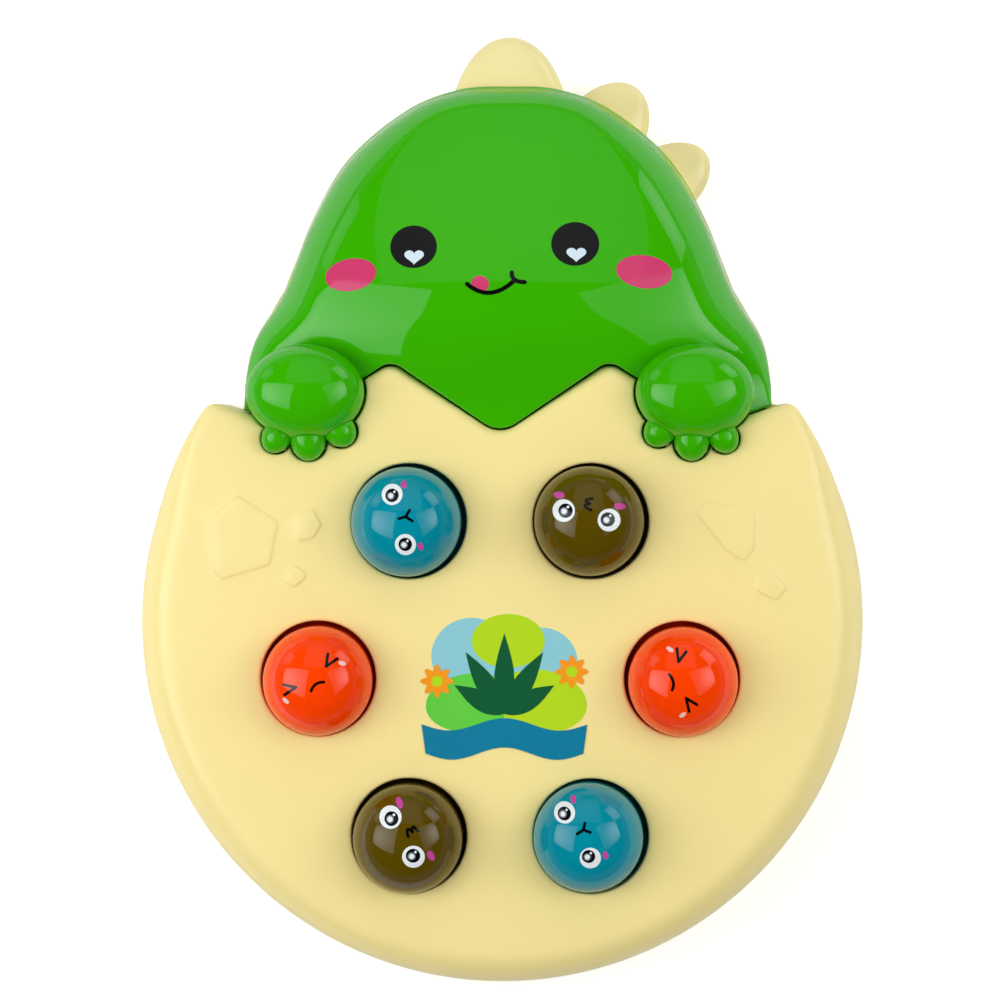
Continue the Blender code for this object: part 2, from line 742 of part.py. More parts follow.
def make_spikes(parts, cream):
    for kind in SPIKE_RISE:
        spike_solid(f"crest_spike_{kind}", kind, 0, SPIKE_STEPS, parts, cream)


def spike_cutters(tools):
    return [spike_solid(f"spike_seat_{kind}", kind, GAP, SPIKE_STEPS, tools) for kind in SPIKE_RISE]


def ellipse_points(side, grow, steps=2 * SMALL_ROUND_STEPS):
    centre = Vector((side * PAW_X, EGG_Y + PAW_REACH))
    points = []
    for step in range(steps):
        angle = 2 * math.pi * step / steps
        across = (PAW_HALF_WIDTH + grow) * math.cos(angle)
        points.append(centre + Vector((across, (PAW_HALF_LENGTH + grow) * math.sin(angle))))
    return points


def paw_solid(name, side, inset, low, steps, levels, collection):
    """A paw's rounded pad: straight sides to its equator, then a dome."""
    outline = ellipse_points(side, -inset, steps)
    centre = Vector((side * PAW_X, EGG_Y + PAW_REACH))
    rings = [level_ring(outline, low)]
    rise = PAW_RISE - inset
    for level in range(levels):
        angle = math.pi / 2 * level / levels
        ring = [centre.lerp(point, math.cos(angle)) for point in outline]
        rings.append(level_ring(ring, PAW_EQUATOR_HEIGHT + rise * math.sin(angle)))
    apex = Vector((centre.x, centre.y, PAW_EQUATOR_HEIGHT + rise))
    return loft(name, rings, collection, None, apex)


def toe_places(side):
    """Centre and radius of each toe of the paw on side 1 or -1."""
    centre = Vector((side * PAW_X, EGG_Y + PAW_REACH))
    return [
        (centre + Vector((side * PAW_HALF_WIDTH * across, PAW_HALF_LENGTH * up)), PAW_HALF_LENGTH * size)
        for across, up, size in TOE_SHARES
    ]


def toe_solid(name, place, radius, low, collection):
    levels = TOE_STEPS // 4
    angles = [math.pi / 2 * level / levels for level in range(levels + 1)]
    profile = [(radius * math.sin(a), TOE_EQUATOR_HEIGHT + radius * math.cos(a)) for a in angles]
    profile += [(radius, low), (0, low)]
    return turned(name, profile, TOE_STEPS, collection, None, (*place, 0))


def egg_solid(name, inset, low, steps, shares, collection, material=None):
    edges = ((EGG_EDGE_WIDTH, EGG_EDGE_DROP), (RIM_WIDTH, RIM_DROP))
    centre = Vector((0, EGG_Y))
    return domed_solid(
        name, egg_outline(), edges, egg_height, centre, inset, low, steps, shares, collection, material
    )


def make_egg_cover(parts, tools, cream):
    """Upper shell of the egg, with collared holes, a zigzag edge, paw cut-outs and screw posts."""
    low = PARTING_Z + GAP
    cover = egg_solid("egg_cover", 0, low, 4, (0.72, 0.36), parts, cream)
    hollow = egg_solid("egg_hollow", WALL, low - OVERRUN, 2, (0.5,), tools)
    middle = egg_solid("egg_middle", WALL / 2, low - OVERRUN, 2, (0.5,), tools)
    fittings = bmesh.new()
    bores = bmesh.new()
    for place in hole_places():
        collar_low = egg_height(place) - COLLAR_LENGTH
        outer = HOLE_RADIUS + COLLAR_WALL
        add_cylinder(fittings, place, outer, collar_low, EGG_HEIGHT + OVERRUN, ROUND_STEPS)
        add_cylinder(bores, place, HOLE_RADIUS, collar_low - OVERRUN, EGG_HEIGHT + 2 * OVERRUN, ROUND_STEPS)
    for place in egg_screw_places():
        add_cylinder(fittings, place, BOSS_RADIUS, low, EGG_HEIGHT + OVERRUN, BORE_STEPS)
        add_cylinder(bores, place, SCREW_SHANK_RADIUS + GAP, low - OVERRUN, low + THREAD_DEPTH, BORE_STEPS)
    collars = solid("egg_fittings", fittings, tools)
    boolean(collars, "INTERSECT", middle)
    cut(cover, hollow)
    join(cover, collars)
    neck = bmesh.new()
    add_box(
        neck,
        (-NECK_OPENING_X, EGG_Y + NOTCH_REACH - 2 * WALL, low - OVERRUN),
        (NECK_OPENING_X, EGG_Y + PEAK_REACH + OVERRUN, NECK_LOW_Z),
    )
    cut(cover, solid("neck_opening", neck, tools), solid("egg_bores", bores, tools))
    top = PAW_EQUATOR_HEIGHT + PAW_RISE
    for side, label in ((1, "right"), (-1, "left")):
        cut(cover, prism(f"paw_opening_{label}", ellipse_points(side, PAW_GAP), low, top, tools))
        for index, (place, radius) in enumerate(toe_places(side)):
            toe = bmesh.new()
            add_cylinder(toe, place, radius + PAW_GAP, low, top, TOE_STEPS)
            cut(cover, solid(f"toe_opening_{label}_{index + 1}", toe, tools))
    for index, shares in enumerate(PATCH_SHARES):
        corners = [Vector((x * EGG_RADIUS, EGG_Y + y * EGG_RADIUS)) for x, y in shares]
        outline = rounded_polygon(corners, PATCH_ROUND, 2)
        rings = [
            [Vector((point.x, point.y, egg_height(point) + rise)) for point in outline]
            for rise in (-WALL / 2, PATCH_RISE)
        ]
        join(cover, loft(f"patch_{index + 1}", rings, tools))
    return cover


def face_solid(name, inset, low, steps, shares, collection, material=None):
    edges = ((HEAD_EDGE_WIDTH, HEAD_EDGE_DROP), (RIM_WIDTH, RIM_DROP))
    centre = Vector((HEAD_AXIS_X, EGG_Y + mix(SHOULDER_REACH, HEAD_REACH, FACE_MIDDLE_SHARE)))
    return domed_solid(
        name, face_outline(), edges, head_height, centre, inset, low, steps, shares, collection, material
    )


def make_head_cover(parts, tools, green):
    """Green shell of the head with its two paws, which reach into the egg cover's cut-outs."""
    low = PARTING_Z + GAP
    cover = face_solid("head_cover", 0, low, 5, (0.85, 0.68, 0.5, 0.25), parts, green)
    hollow = face_solid("head_hollow", WALL, low - OVERRUN, 3, (0.8, 0.55, 0.28), tools)
    middle = face_solid("head_middle", WALL / 2, low - OVERRUN, 3, (0.8, 0.55, 0.28), tools)
    for side, label in ((1, "right"), (-1, "left")):
        join(cover, paw_solid(f"paw_{label}", side, 0, NECK_LOW_Z, 2 * SMALL_ROUND_STEPS, 5, tools))
        for index, (place, radius) in enumerate(toe_places(side)):
            join(cover, toe_solid(f"toe_{label}_{index + 1}", place, radius, NECK_LOW_Z, tools))
    cut(cover, hollow)
    for side, label in ((1, "right"), (-1, "left")):
        paw_low = NECK_LOW_Z - OVERRUN
        cut(cover, paw_solid(f"paw_hollow_{label}", side, WALL, paw_low, SMALL_ROUND_STEPS, 3, tools))
    throat = bmesh.new()
    throat_x = PAW_X + PAW_HALF_WIDTH * NECK_CORNER_SHARE
    add_box(
        throat,
        (-throat_x, EGG_Y + NOTCH_REACH - OVERRUN, low - OVERRUN),
        (throat_x, EGG_Y + PEAK_REACH + OVERRUN, NECK_LOW_Z),
    )
    cut(cover, solid("throat", throat, tools))
    posts = bmesh.new()
    bores = bmesh.new()
    for place in head_screw_places():
        add_cylinder(posts, place, BOSS_RADIUS, low, CREST_HEIGHT + OVERRUN, BORE_STEPS)
        add_cylinder(bores, place, SCREW_SHANK_RADIUS + GAP, low - OVERRUN, low + THREAD_DEPTH, BORE_STEPS)
    head_posts = solid("head_posts", posts, tools)
    boolean(head_posts, "INTERSECT", middle)
    join(cover, head_posts)
    cut(cover, solid("head_bores", bores, tools))


def bay_box(target, grow_x, grow_y, low, high):
    add_box(
        target,
        (HEAD_AXIS_X - BAY_HALF_X - grow_x, BAY_Y - BAY_HALF_Y - grow_y, low),
        (HEAD_AXIS_X + BAY_HALF_X + grow_x, BAY_Y + BAY_HALF_Y + grow_y, high),
    )


def door_blank(name, grow, low, high, ear_high, collection, tools, material=None):
    """The battery door's outline, or its recess: a plate, two tabs and an ear for the screw."""
    plate = bmesh.new()
    bay_box(plate, DOOR_LEDGE + grow, DOOR_LEDGE + grow, low, high)
    blank = solid(name, plate, collection, material)
    round_radius = (DOOR_THICKNESS / 2 + grow) / math.cos(math.pi / SMALL_ROUND_STEPS)
    turn = Matrix.Rotation(math.pi / 2, 4, "Y") @ Matrix.Rotation(math.pi / SMALL_ROUND_STEPS, 4, "Z")
    for side, label in ((1, "right"), (-1, "left")):
        x = HEAD_AXIS_X + side * DOOR_TAB_X
        reach = DOOR_TAB_HALF_WIDTH + grow
        tab = bmesh.new()
        add_box(tab, (x - reach, DOOR_AXIS_Y, low), (x + reach, DOOR_NEAR_Y + DOOR_LEDGE, high))
        knuckle = bmesh.new()
        bmesh.ops.create_cone(
            knuckle,
            cap_ends=True,
            segments=SMALL_ROUND_STEPS,
            radius1=round_radius,
            radius2=round_radius,
            depth=2 * reach,
            matrix=Matrix.Translation((x, DOOR_AXIS_Y, DOOR_AXIS_Z)) @ turn,
        )
        join(blank, solid(f"{name}_tab_{label}", tab, tools))
        join(blank, solid(f"{name}_knuckle_{label}", knuckle, tools))
    ear = bmesh.new()
    add_cylinder(ear, (HEAD_AXIS_X, DOOR_EAR_Y), DOOR_EAR_RADIUS + grow, low, ear_high)
    join(blank, solid(f"{name}_ear", ear, tools))
    return blank


def make_base(parts, tools, cream):
    """Lower shell: floor, wall, battery bay, posts, ribs and the openings of the underside."""
    outline = case_outline()
    count = len(outline)
    rings = []
    for step in range(3):
        angle = math.pi / 2 * step / 2
        ring = inset_points(outline, [BASE_EDGE * (1 - math.sin(angle))] * count)
        rings.append(level_ring(ring, FOOT_PROUD + BASE_EDGE * (1 - math.cos(angle))))
    rings.append(level_ring(outline, PARTING_Z))
    base = loft("base_housing", rings, parts, cream)
    inner = [
        level_ring(inset_points(outline, [BASE_EDGE] * count), FLOOR_Z),
        level_ring(inset_points(outline, [WALL] * count), FLOOR_Z + BASE_EDGE - WALL),
        level_ring(inset_points(outline, [WALL] * count), PARTING_Z + OVERRUN),
    ]
    cut(base, loft("base_hollow", inner, tools))
    add_base_fittings(base, tools)
    cut_base_openings(base, tools)
    return base


def add_base_fittings(base, tools):
    sunk = FLOOR_Z - WALL / 2
    posts = bmesh.new()
    for place in egg_screw_places() + head_screw_places():
        add_cylinder(posts, place, BOSS_RADIUS, sunk, PARTING_Z, BORE_STEPS)
    board_seat = BOARD_HEIGHT - GAP
    for place in hole_places():
        add_cylinder(posts, place, BOARD_POST_RADIUS, sunk, board_seat, BORE_STEPS)
    for place in pin_places():
        pin = [
            (BOARD_POST_RADIUS, sunk),
            (BOARD_POST_RADIUS, board_seat),
            (BOARD_PIN_RADIUS, board_seat),
            (BOARD_PIN_RADIUS, BOARD_TOP_Z + BOARD_PIN_RISE),
        ]
        add_round(posts, place, pin, BORE_STEPS)
    ribs = bmesh.new()
    rib_high = FLOOR_Z + SLIDE_PLATE_THICKNESS + 2 * GAP
    for side in (1, -1):
        near = SLIDE_PLATE_WIDTH / 2 + GAP
        y_values = sorted((POWER_Y + side * near, POWER_Y + side * (near + POWER_RIB)))
        add_box(
            ribs,
            ((POWER_TRAVEL - POWER_BODY_LENGTH) / 2, y_values[0], sunk),
            ((POWER_TRAVEL + POWER_BODY_LENGTH) / 2, y_values[1], rib_high),
        )
    ring = [
        (SPEAKER_RADIUS + GAP, FLOOR_Z + SPEAKER_RIB_HEIGHT),
        (SPEAKER_RADIUS + GAP + BAY_WALL, FLOOR_Z + SPEAKER_RIB_HEIGHT),
        (SPEAKER_RADIUS + GAP + BAY_WALL, sunk),
        (SPEAKER_RADIUS + GAP, sunk),
    ]
    speaker_rib = turned("speaker_rib", ring, ROUND_STEPS, tools, None, (0, HOLE_RING_Y, 0))

    ledge_high = DOOR_TOP_Z + GAP + BAY_WALL
    ledge = bmesh.new()
    bay_box(ledge, DOOR_LEDGE + GAP + BAY_WALL, DOOR_LEDGE + GAP + BAY_WALL, sunk, ledge_high)
    bay = bmesh.new()
    bay_box(bay, BAY_WALL, BAY_WALL, sunk, BAY_CEILING_Z + BAY_WALL)
    boss = bmesh.new()
    add_cylinder(boss, (HEAD_AXIS_X, DOOR_EAR_Y), DOOR_BOSS_RADIUS, sunk, DOOR_BOSS_HEIGHT)
    tab_boss = bmesh.new()
    tab_reach = DOOR_TAB_X + DOOR_TAB_HALF_WIDTH + BAY_WALL
    add_box(
        tab_boss,
        (HEAD_AXIS_X - tab_reach, DOOR_AXIS_Y - DOOR_THICKNESS - BAY_WALL, sunk),
        (HEAD_AXIS_X + tab_reach, DOOR_NEAR_Y, ledge_high),
    )
    join(
        base,
        solid("base_posts", posts, tools),
        solid("switch_ribs", ribs, tools),
        speaker_rib,
        solid("door_ledge", ledge, tools),
        solid("battery_bay", bay, tools),
        solid("door_boss", boss, tools),
        solid("tab_boss", tab_boss, tools),
    )


def cut_base_openings(base, tools):
    bores = bmesh.new()
    for place in egg_screw_places() + head_screw_places():
        bore = [
            (SCREW_HEAD_RADIUS + GAP, 0),
            (SCREW_HEAD_RADIUS + GAP, FOOT_PROUD + SCREW_SINK),
            (SCREW_SHANK_RADIUS + GAP, FOOT_PROUD + SCREW_SINK),
            (SCREW_SHANK_RADIUS + GAP, PARTING_Z + OVERRUN),
        ]
        add_round(bores, place, bore, BORE_STEPS)
    cells = bmesh.new()
    bay_box(cells, 0, 0, 0, BAY_CEILING_Z)
    ear_high = FOOT_PROUD + DOOR_EAR_THICKNESS + GAP
    recess = door_blank("door_recess", GAP, 0, DOOR_TOP_Z + GAP, ear_high, tools, tools)
    door_bore = bmesh.new()
    play = SCREW_SHANK_RADIUS + DOOR_SCREW_PLAY
    add_cylinder(door_bore, (HEAD_AXIS_X, DOOR_EAR_Y), play, 0, DOOR_BOSS_HEIGHT + OVERRUN)
    slots = bmesh.new()
    for index in range(GRILLE_SLOTS):
        offset = (index - (GRILLE_SLOTS - 1) / 2) * GRILLE_PITCH
        half_length = math.sqrt(GRILLE_RADIUS**2 - offset**2)
        y = HOLE_RING_Y + offset
        add_box(
            slots,
            (-half_length, y - GRILLE_SLOT_WIDTH / 2, 0),
            (half_length, y + GRILLE_SLOT_WIDTH / 2, FLOOR_Z + OVERRUN),
        )
    pockets = bmesh.new()
    for place in foot_places():
        add_cylinder(pockets, place, FOOT_RADIUS + GAP, 0, FOOT_PROUD + FOOT_SINK + GAP, ROUND_STEPS)
    knob_slot = bmesh.new()
    add_box(
        knob_slot,
        (-KNOB_LENGTH / 2 - GAP, POWER_Y - KNOB_WIDTH / 2 - GAP, 0),
        (KNOB_LENGTH / 2 + POWER_TRAVEL + GAP, POWER_Y + KNOB_WIDTH / 2 + GAP, FLOOR_Z + OVERRUN),
    )
    cut(
        base,
        solid("cell_space", cells, tools),
        recess,
        solid("door_bore", door_bore, tools),
        solid("screw_bores", bores, tools),
        solid("grille_slots", slots, tools),
        solid("foot_pockets", pockets, tools),
        solid("knob_slot", knob_slot, tools),
    )


def pin_places():
    """Centres of the three board pins, between the holes."""
    centre = Vector((0, HOLE_RING_Y))
    first = math.pi / 6
    return arc_points(centre, HOLE_RING_RADIUS * BOARD_PIN_SHARE, first, first + 2 * math.pi, 3)[:-1]


def make_moles(parts, colours):
    """Hollow domes that slide in the cover's collars, each kept in by a lip below its collar."""
    moles = []
    for name, place in zip(MOLE_NAMES, hole_places()):
        top = egg_height(place)
        equator = top + MOLE_PROUD
        lip_high = top - COLLAR_LENGTH - GAP
        lip_low = lip_high - MOLE_LIP_THICKNESS
        inner = MOLE_RADIUS - MOLE_WALL
        angles = [math.pi / 2 * step / DOME_STEPS for step in range(DOME_STEPS + 1)]
        dome = [(MOLE_RADIUS * math.sin(a), equator + MOLE_DOME_RISE * math.cos(a)) for a in angles]
        ceiling = equator + MOLE_DOME_RISE - 2 * MOLE_WALL
        profile = dome + [
            (MOLE_RADIUS, lip_high),
            (MOLE_RADIUS + MOLE_LIP_WIDTH, lip_high),
            (MOLE_RADIUS + MOLE_LIP_WIDTH, lip_low),
            (inner, lip_low),
            (inner, equator),
            (SPRING_SEAT_RADIUS, ceiling - MOLE_WALL),
            (SPRING_SEAT_RADIUS, SPRING_SEAT_Z),
            (MOLE_STEM_RADIUS, SPRING_SEAT_Z),
            (MOLE_STEM_RADIUS, STEM_FOOT_Z),
            (0, STEM_FOOT_Z),
        ]
        material = colours[name.split("_")[0]]
        moles.append(turned(f"mole_{name}", profile, ROUND_STEPS, parts, material, (*place, 0)))
    return moles


def spring_route():
    """Points of one coil about the Z axis; its ends run straight for one wire diameter."""
    steps = SPRING_TURNS * SPRING_POINTS_PER_TURN
    low = SPRING_WIRE_RADIUS
    high = SPRING_LENGTH - SPRING_WIRE_RADIUS
    points = []
    for step in range(steps + 1):
        share = step / steps
        angle = 2 * math.pi * SPRING_TURNS * share
        rise = share - SPRING_END_SHARE * math.sin(2 * math.pi * share) / (2 * math.pi)
        points.append(
            Vector((SPRING_RADIUS * math.cos(angle), SPRING_RADIUS * math.sin(angle), mix(low, high, rise)))
        )
    lead = Vector((0, -2 * SPRING_WIRE_RADIUS, 0))
    return [points[0] + lead, *points, points[-1] - lead]


def least_coil_gap(points):
    """Least distance between the wire's surfaces on points a half turn or more apart."""
    half_turn = SPRING_POINTS_PER_TURN // 2
    gaps = [
        (points[a] - points[b]).length - 2 * SPRING_WIRE_RADIUS
        for a in range(len(points))
        for b in range(a + half_turn, len(points))
    ]
    return min(gaps)


def tube(name, points, radius, parts, material):
    curve = bpy.data.curves.new(name, "CURVE")
    curve.dimensions = "3D"
    curve.bevel_depth = radius
    curve.bevel_resolution = 1
    curve.use_fill_caps = True
    spline = curve.splines.new("POLY")
    spline.points.add(len(points) - 1)
    for point, target in zip(points, spline.points):
        target.co = (*point, 1)
    curve.materials.append(material)
    wire = bpy.data.objects.new(name, curve)
    parts.objects.link(wire)
    return wire


def make_springs(parts, steel):
    route = spring_route()
    print(f"least gap of a spring to itself: {least_coil_gap(route) * 1000:.2f} mm")
    springs = []
    for name, place in zip(MOLE_NAMES, hole_places()):
        spring = tube(f"spring_{name}", route, SPRING_WIRE_RADIUS, parts, steel)
        spring.location = (*place, SPRING_FOOT_Z)
        springs.append(spring)
    return springs


def make_board(parts, tools, green, black, white, clear):
    """Hexagonal circuit board with a push switch and a lamp under each mole, and the sound chip."""
    centre = Vector((0, HOLE_RING_Y))
    corners = arc_points(centre, HOLE_RING_RADIUS + BOARD_MARGIN, 0, 2 * math.pi, 6)[:-1]
    outline = rounded_polygon(corners, BOARD_CORNER, 3)
    board = prism("circuit_board", outline, BOARD_HEIGHT, BOARD_TOP_Z, parts, green)
    holes = bmesh.new()
    for place in pin_places():
        radius = BOARD_PIN_RADIUS + GAP
        add_cylinder(holes, place, radius, BOARD_HEIGHT - OVERRUN, BOARD_TOP_Z + OVERRUN, BORE_STEPS)
    cut(board, solid("pin_holes", holes, tools))
    floor = BOARD_TOP_Z + GAP
    half = PUSH_SWITCH_SIZE / 2
    for name, place in zip(MOLE_NAMES, hole_places()):
        body = bmesh.new()
        add_box(body, (-half, -half, 0), (half, half, PUSH_SWITCH_HEIGHT))
        switch = solid(f"push_switch_{name}", body, parts, black)
        switch.location = (*place, floor)
        button = bmesh.new()
        button_low = floor + PUSH_SWITCH_HEIGHT / 2
        add_cylinder(button, place, PUSH_BUTTON_RADIUS, button_low, PUSH_SWITCH_TOP_Z, BORE_STEPS)
        join(switch, solid(f"push_button_{name}", button, tools))
        rim = LAMP_RADIUS + LAMP_RIM
        lamp = [
            (0, LAMP_HEIGHT),
            (LAMP_RADIUS * math.sin(math.pi / 4), LAMP_HEIGHT - LAMP_RADIUS * (1 - math.cos(math.pi / 4))),
            (LAMP_RADIUS, LAMP_HEIGHT - LAMP_RADIUS),
            (LAMP_RADIUS, LAMP_RIM_HEIGHT),
            (rim, LAMP_RIM_HEIGHT),
            (rim, 0),
            (0, 0),
        ]
        outward = (place - centre).normalized()
        spot = place + outward * LAMP_OFFSET
        turned(f"lamp_{name}", lamp, BORE_STEPS, parts, clear, (*spot, floor))
    chip = [
        (0, CHIP_RISE),
        (CHIP_RADIUS / 2, CHIP_RISE),
        (CHIP_RADIUS, CHIP_RISE / 2),
        (CHIP_RADIUS, 0),
        (0, 0),
    ]
    chip_place = centre + Vector((0, HOLE_RING_RADIUS * CHIP_SHARE))
    turned("sound_chip", chip, SMALL_ROUND_STEPS, parts, white, (*chip_place, floor))
    return board


def make_speaker(parts, tools, steel, paper):
    """Small round speaker that faces down through the grille."""
    low = FLOOR_Z + GAP
    rim = low + SPEAKER_RIM_THICKNESS
    shoulder = low + SPEAKER_HEIGHT - SPEAKER_MAGNET_HEIGHT
    inner = SPEAKER_RADIUS - SPEAKER_RIM
    frame = [
        (0, low + SPEAKER_HEIGHT),
        (SPEAKER_MAGNET_RADIUS, low + SPEAKER_HEIGHT),
        (SPEAKER_MAGNET_RADIUS, shoulder),
        (inner + SPEAKER_SHEET, rim),
        (SPEAKER_RADIUS, rim),
        (SPEAKER_RADIUS, low),
        (inner, low),
        (inner, rim),
        (SPEAKER_MAGNET_RADIUS, shoulder - SPEAKER_SHEET),
        (0, shoulder - SPEAKER_SHEET),
    ]
    turned("speaker_frame", frame, ROUND_STEPS, parts, steel, (0, HOLE_RING_Y, 0))
    reach = inner - GAP * 2
    cone_top = shoulder - SPEAKER_SHEET - CONE_THICKNESS - GAP
    cone = [
        (0, cone_top),
        (SPEAKER_MAGNET_RADIUS / 2, cone_top),
        (reach, low + CONE_THICKNESS),
        (reach, low),
        (SPEAKER_MAGNET_RADIUS / 2, cone_top - CONE_THICKNESS),
        (0, cone_top - CONE_THICKNESS),
    ]
    turned("speaker_cone", cone, ROUND_STEPS, parts, paper, (0, HOLE_RING_Y, 0))


def cell_places():
    middle = (CELL_COUNT - 1) / 2
    return [BAY_Y + (index - middle) * CELL_PITCH for index in range(CELL_COUNT)]


def make_cells(parts, tools, sleeve, brass):
    """Cells that lie in turn one way and the other, with the plates that join them in series."""
    body = CELL_LENGTH - CELL_NUB_LENGTH
    profile = [
        (0, CELL_LENGTH / 2),
        (CELL_NUB_RADIUS, CELL_LENGTH / 2),
        (CELL_NUB_RADIUS, CELL_LENGTH / 2 - CELL_NUB_LENGTH),
        (CELL_RADIUS, body - CELL_LENGTH / 2),
        (CELL_RADIUS, -CELL_LENGTH / 2),
        (0, -CELL_LENGTH / 2),
    ]
    ways = [1 if index % 2 == 0 else -1 for index in range(CELL_COUNT)]
    for index, (y, way) in enumerate(zip(cell_places(), ways)):
        place = (HEAD_AXIS_X, y, CELL_Z)
        cell = turned(f"battery_{index + 1}", profile, SMALL_ROUND_STEPS, parts, sleeve, place)
        cell.rotation_euler = (0, way * math.pi / 2, 0)
    for side, label in ((1, "right"), (-1, "left")):
        rows = list(range(CELL_COUNT))
        groups = [rows[:1], rows[1:]] if side > 0 else [rows[:-1], rows[-1:]]
        for group in groups:
            kind = "single" if len(group) == 1 else "bridge"
            y_values = [cell_places()[row] for row in group]
            make_contact(f"contact_{kind}_{label}", side, y_values, parts, tools, brass)


def make_contact(name, side, y_values, parts, tools, brass):
    """Plate against the bay's end wall, with a bump that bears on each cell."""
    wall_x = HEAD_AXIS_X + side * (BAY_HALF_X - GAP)
    face_x = wall_x - side * CONTACT_THICKNESS
    x_values = sorted((wall_x, face_x))
    plate = bmesh.new()
    add_box(
        plate,
        (x_values[0], min(y_values) - CONTACT_HALF_WIDTH, CELL_Z - CONTACT_HALF_HEIGHT),
        (x_values[1], max(y_values) + CONTACT_HALF_WIDTH, CELL_Z + CONTACT_HALF_HEIGHT),
    )
    contact = solid(name, plate, parts, brass)
    reach = CONTACT_SPACE - 2 * GAP - CONTACT_THICKNESS / 2
    for index, y in enumerate(y_values):
        bump = bmesh.new()
        middle_x = HEAD_AXIS_X + side * (CELL_LENGTH / 2 + GAP + reach / 2)
        bmesh.ops.create_cone(
            bump,
            cap_ends=True,
            segments=BORE_STEPS,
            radius1=CONTACT_BUMP_RADIUS,
            radius2=CONTACT_BUMP_RADIUS / 2,
            depth=reach,
            matrix=Matrix.Translation((middle_x, y, CELL_Z)) @ Matrix.Rotation(-side * math.pi / 2, 4, "Y"),
        )
        join(contact, solid(f"{name}_bump_{index + 1}", bump, tools))
    return contact


def screw_profile(length):
    return [
        (0, length),
        (SCREW_SHANK_RADIUS, length),
        (SCREW_SHANK_RADIUS, 0),
        (SCREW_HEAD_RADIUS, 0),
        (SCREW_HEAD_RADIUS, -SCREW_HEAD_HEIGHT),
        (0, -SCREW_HEAD_HEIGHT),
    ]


def make_door(parts, tools, cream, steel):
    """Battery door that tilts out about its two tabs, and the screw in its ear."""
    pivot = bpy.data.objects.new("door_pivot", None)
    parts.objects.link(pivot)
    pivot.location = (HEAD_AXIS_X, DOOR_AXIS_Y, DOOR_AXIS_Z)
    ear_high = FOOT_PROUD + DOOR_EAR_THICKNESS
    door = door_blank("battery_door", 0, FOOT_PROUD, DOOR_TOP_Z, ear_high, parts, tools, cream)
    bore = bmesh.new()
    seat = FOOT_PROUD + DOOR_SCREW_SINK + GAP
    profile = [
        (SCREW_HEAD_RADIUS + GAP, 0),
        (SCREW_HEAD_RADIUS + GAP, seat),
        (SCREW_SHANK_RADIUS + GAP, seat),
        (SCREW_SHANK_RADIUS + GAP, ear_high + OVERRUN),
    ]
    add_round(bore, (HEAD_AXIS_X, DOOR_EAR_Y), profile)
    cut(door, solid("ear_bore", bore, tools))
    screw_at = (HEAD_AXIS_X, DOOR_EAR_Y, FOOT_PROUD + DOOR_SCREW_SINK)
    profile = screw_profile(DOOR_SCREW_LENGTH)
    screw = turned("battery_door_screw", profile, BORE_STEPS, parts, steel, screw_at)
    bpy.context.view_layer.update()
    for thing in (door, screw):
        thing.parent = pivot
        thing.matrix_parent_inverse = pivot.matrix_world.inverted()
    return door


def make_power_switch(parts, tools, black):
    """Slide switch inside the floor; its knob reaches down through a slot."""
    plate_low = FLOOR_Z + GAP
    plate_high = plate_low + SLIDE_PLATE_THICKNESS
    slide = bmesh.new()
    add_box(
        slide,
        (-SLIDE_PLATE_LENGTH / 2, -SLIDE_PLATE_WIDTH / 2, plate_low),
        (SLIDE_PLATE_LENGTH / 2, SLIDE_PLATE_WIDTH / 2, plate_high),
    )
    slider = solid("power_switch_slider", slide, parts, black)
    slider.location = (0, POWER_Y, 0)
    knob = bmesh.new()
    add_box(
        knob,
        (-KNOB_LENGTH / 2, POWER_Y - KNOB_WIDTH / 2, FOOT_PROUD - KNOB_PROUD),
        (KNOB_LENGTH / 2, POWER_Y + KNOB_WIDTH / 2, plate_low + SLIDE_PLATE_THICKNESS / 2),
    )
    join(slider, solid("power_knob", knob, tools))
    low = plate_high + 2 * GAP
    body = bmesh.new()
    add_box(
        body,
        ((POWER_TRAVEL - POWER_BODY_LENGTH) / 2, POWER_Y - POWER_BODY_WIDTH / 2, low),
        ((POWER_TRAVEL + POWER_BODY_LENGTH) / 2, POWER_Y + POWER_BODY_WIDTH / 2, low + POWER_BODY_HEIGHT),
    )
    solid("power_switch_body", body, parts, black)


def make_fasteners(parts, steel, rubber):
    seat = FOOT_PROUD + SCREW_SINK - GAP
    for index, place in enumerate(egg_screw_places() + head_screw_places()):
        profile = screw_profile(SCREW_LENGTH)
        turned(f"case_screw_{index + 1}", profile, BORE_STEPS, parts, steel, (*place, seat))
    foot = [
        (0, FOOT_PROUD + FOOT_SINK),
        (FOOT_RADIUS, FOOT_PROUD + FOOT_SINK),
        (FOOT_RADIUS, FOOT_CHAMFER),
        (FOOT_RADIUS - FOOT_CHAMFER, 0),
        (0, 0),
    ]
    for index, place in enumerate(foot_places()):
        turned(f"rubber_foot_{index + 1}", foot, ROUND_STEPS, parts, rubber, (*place, 0))


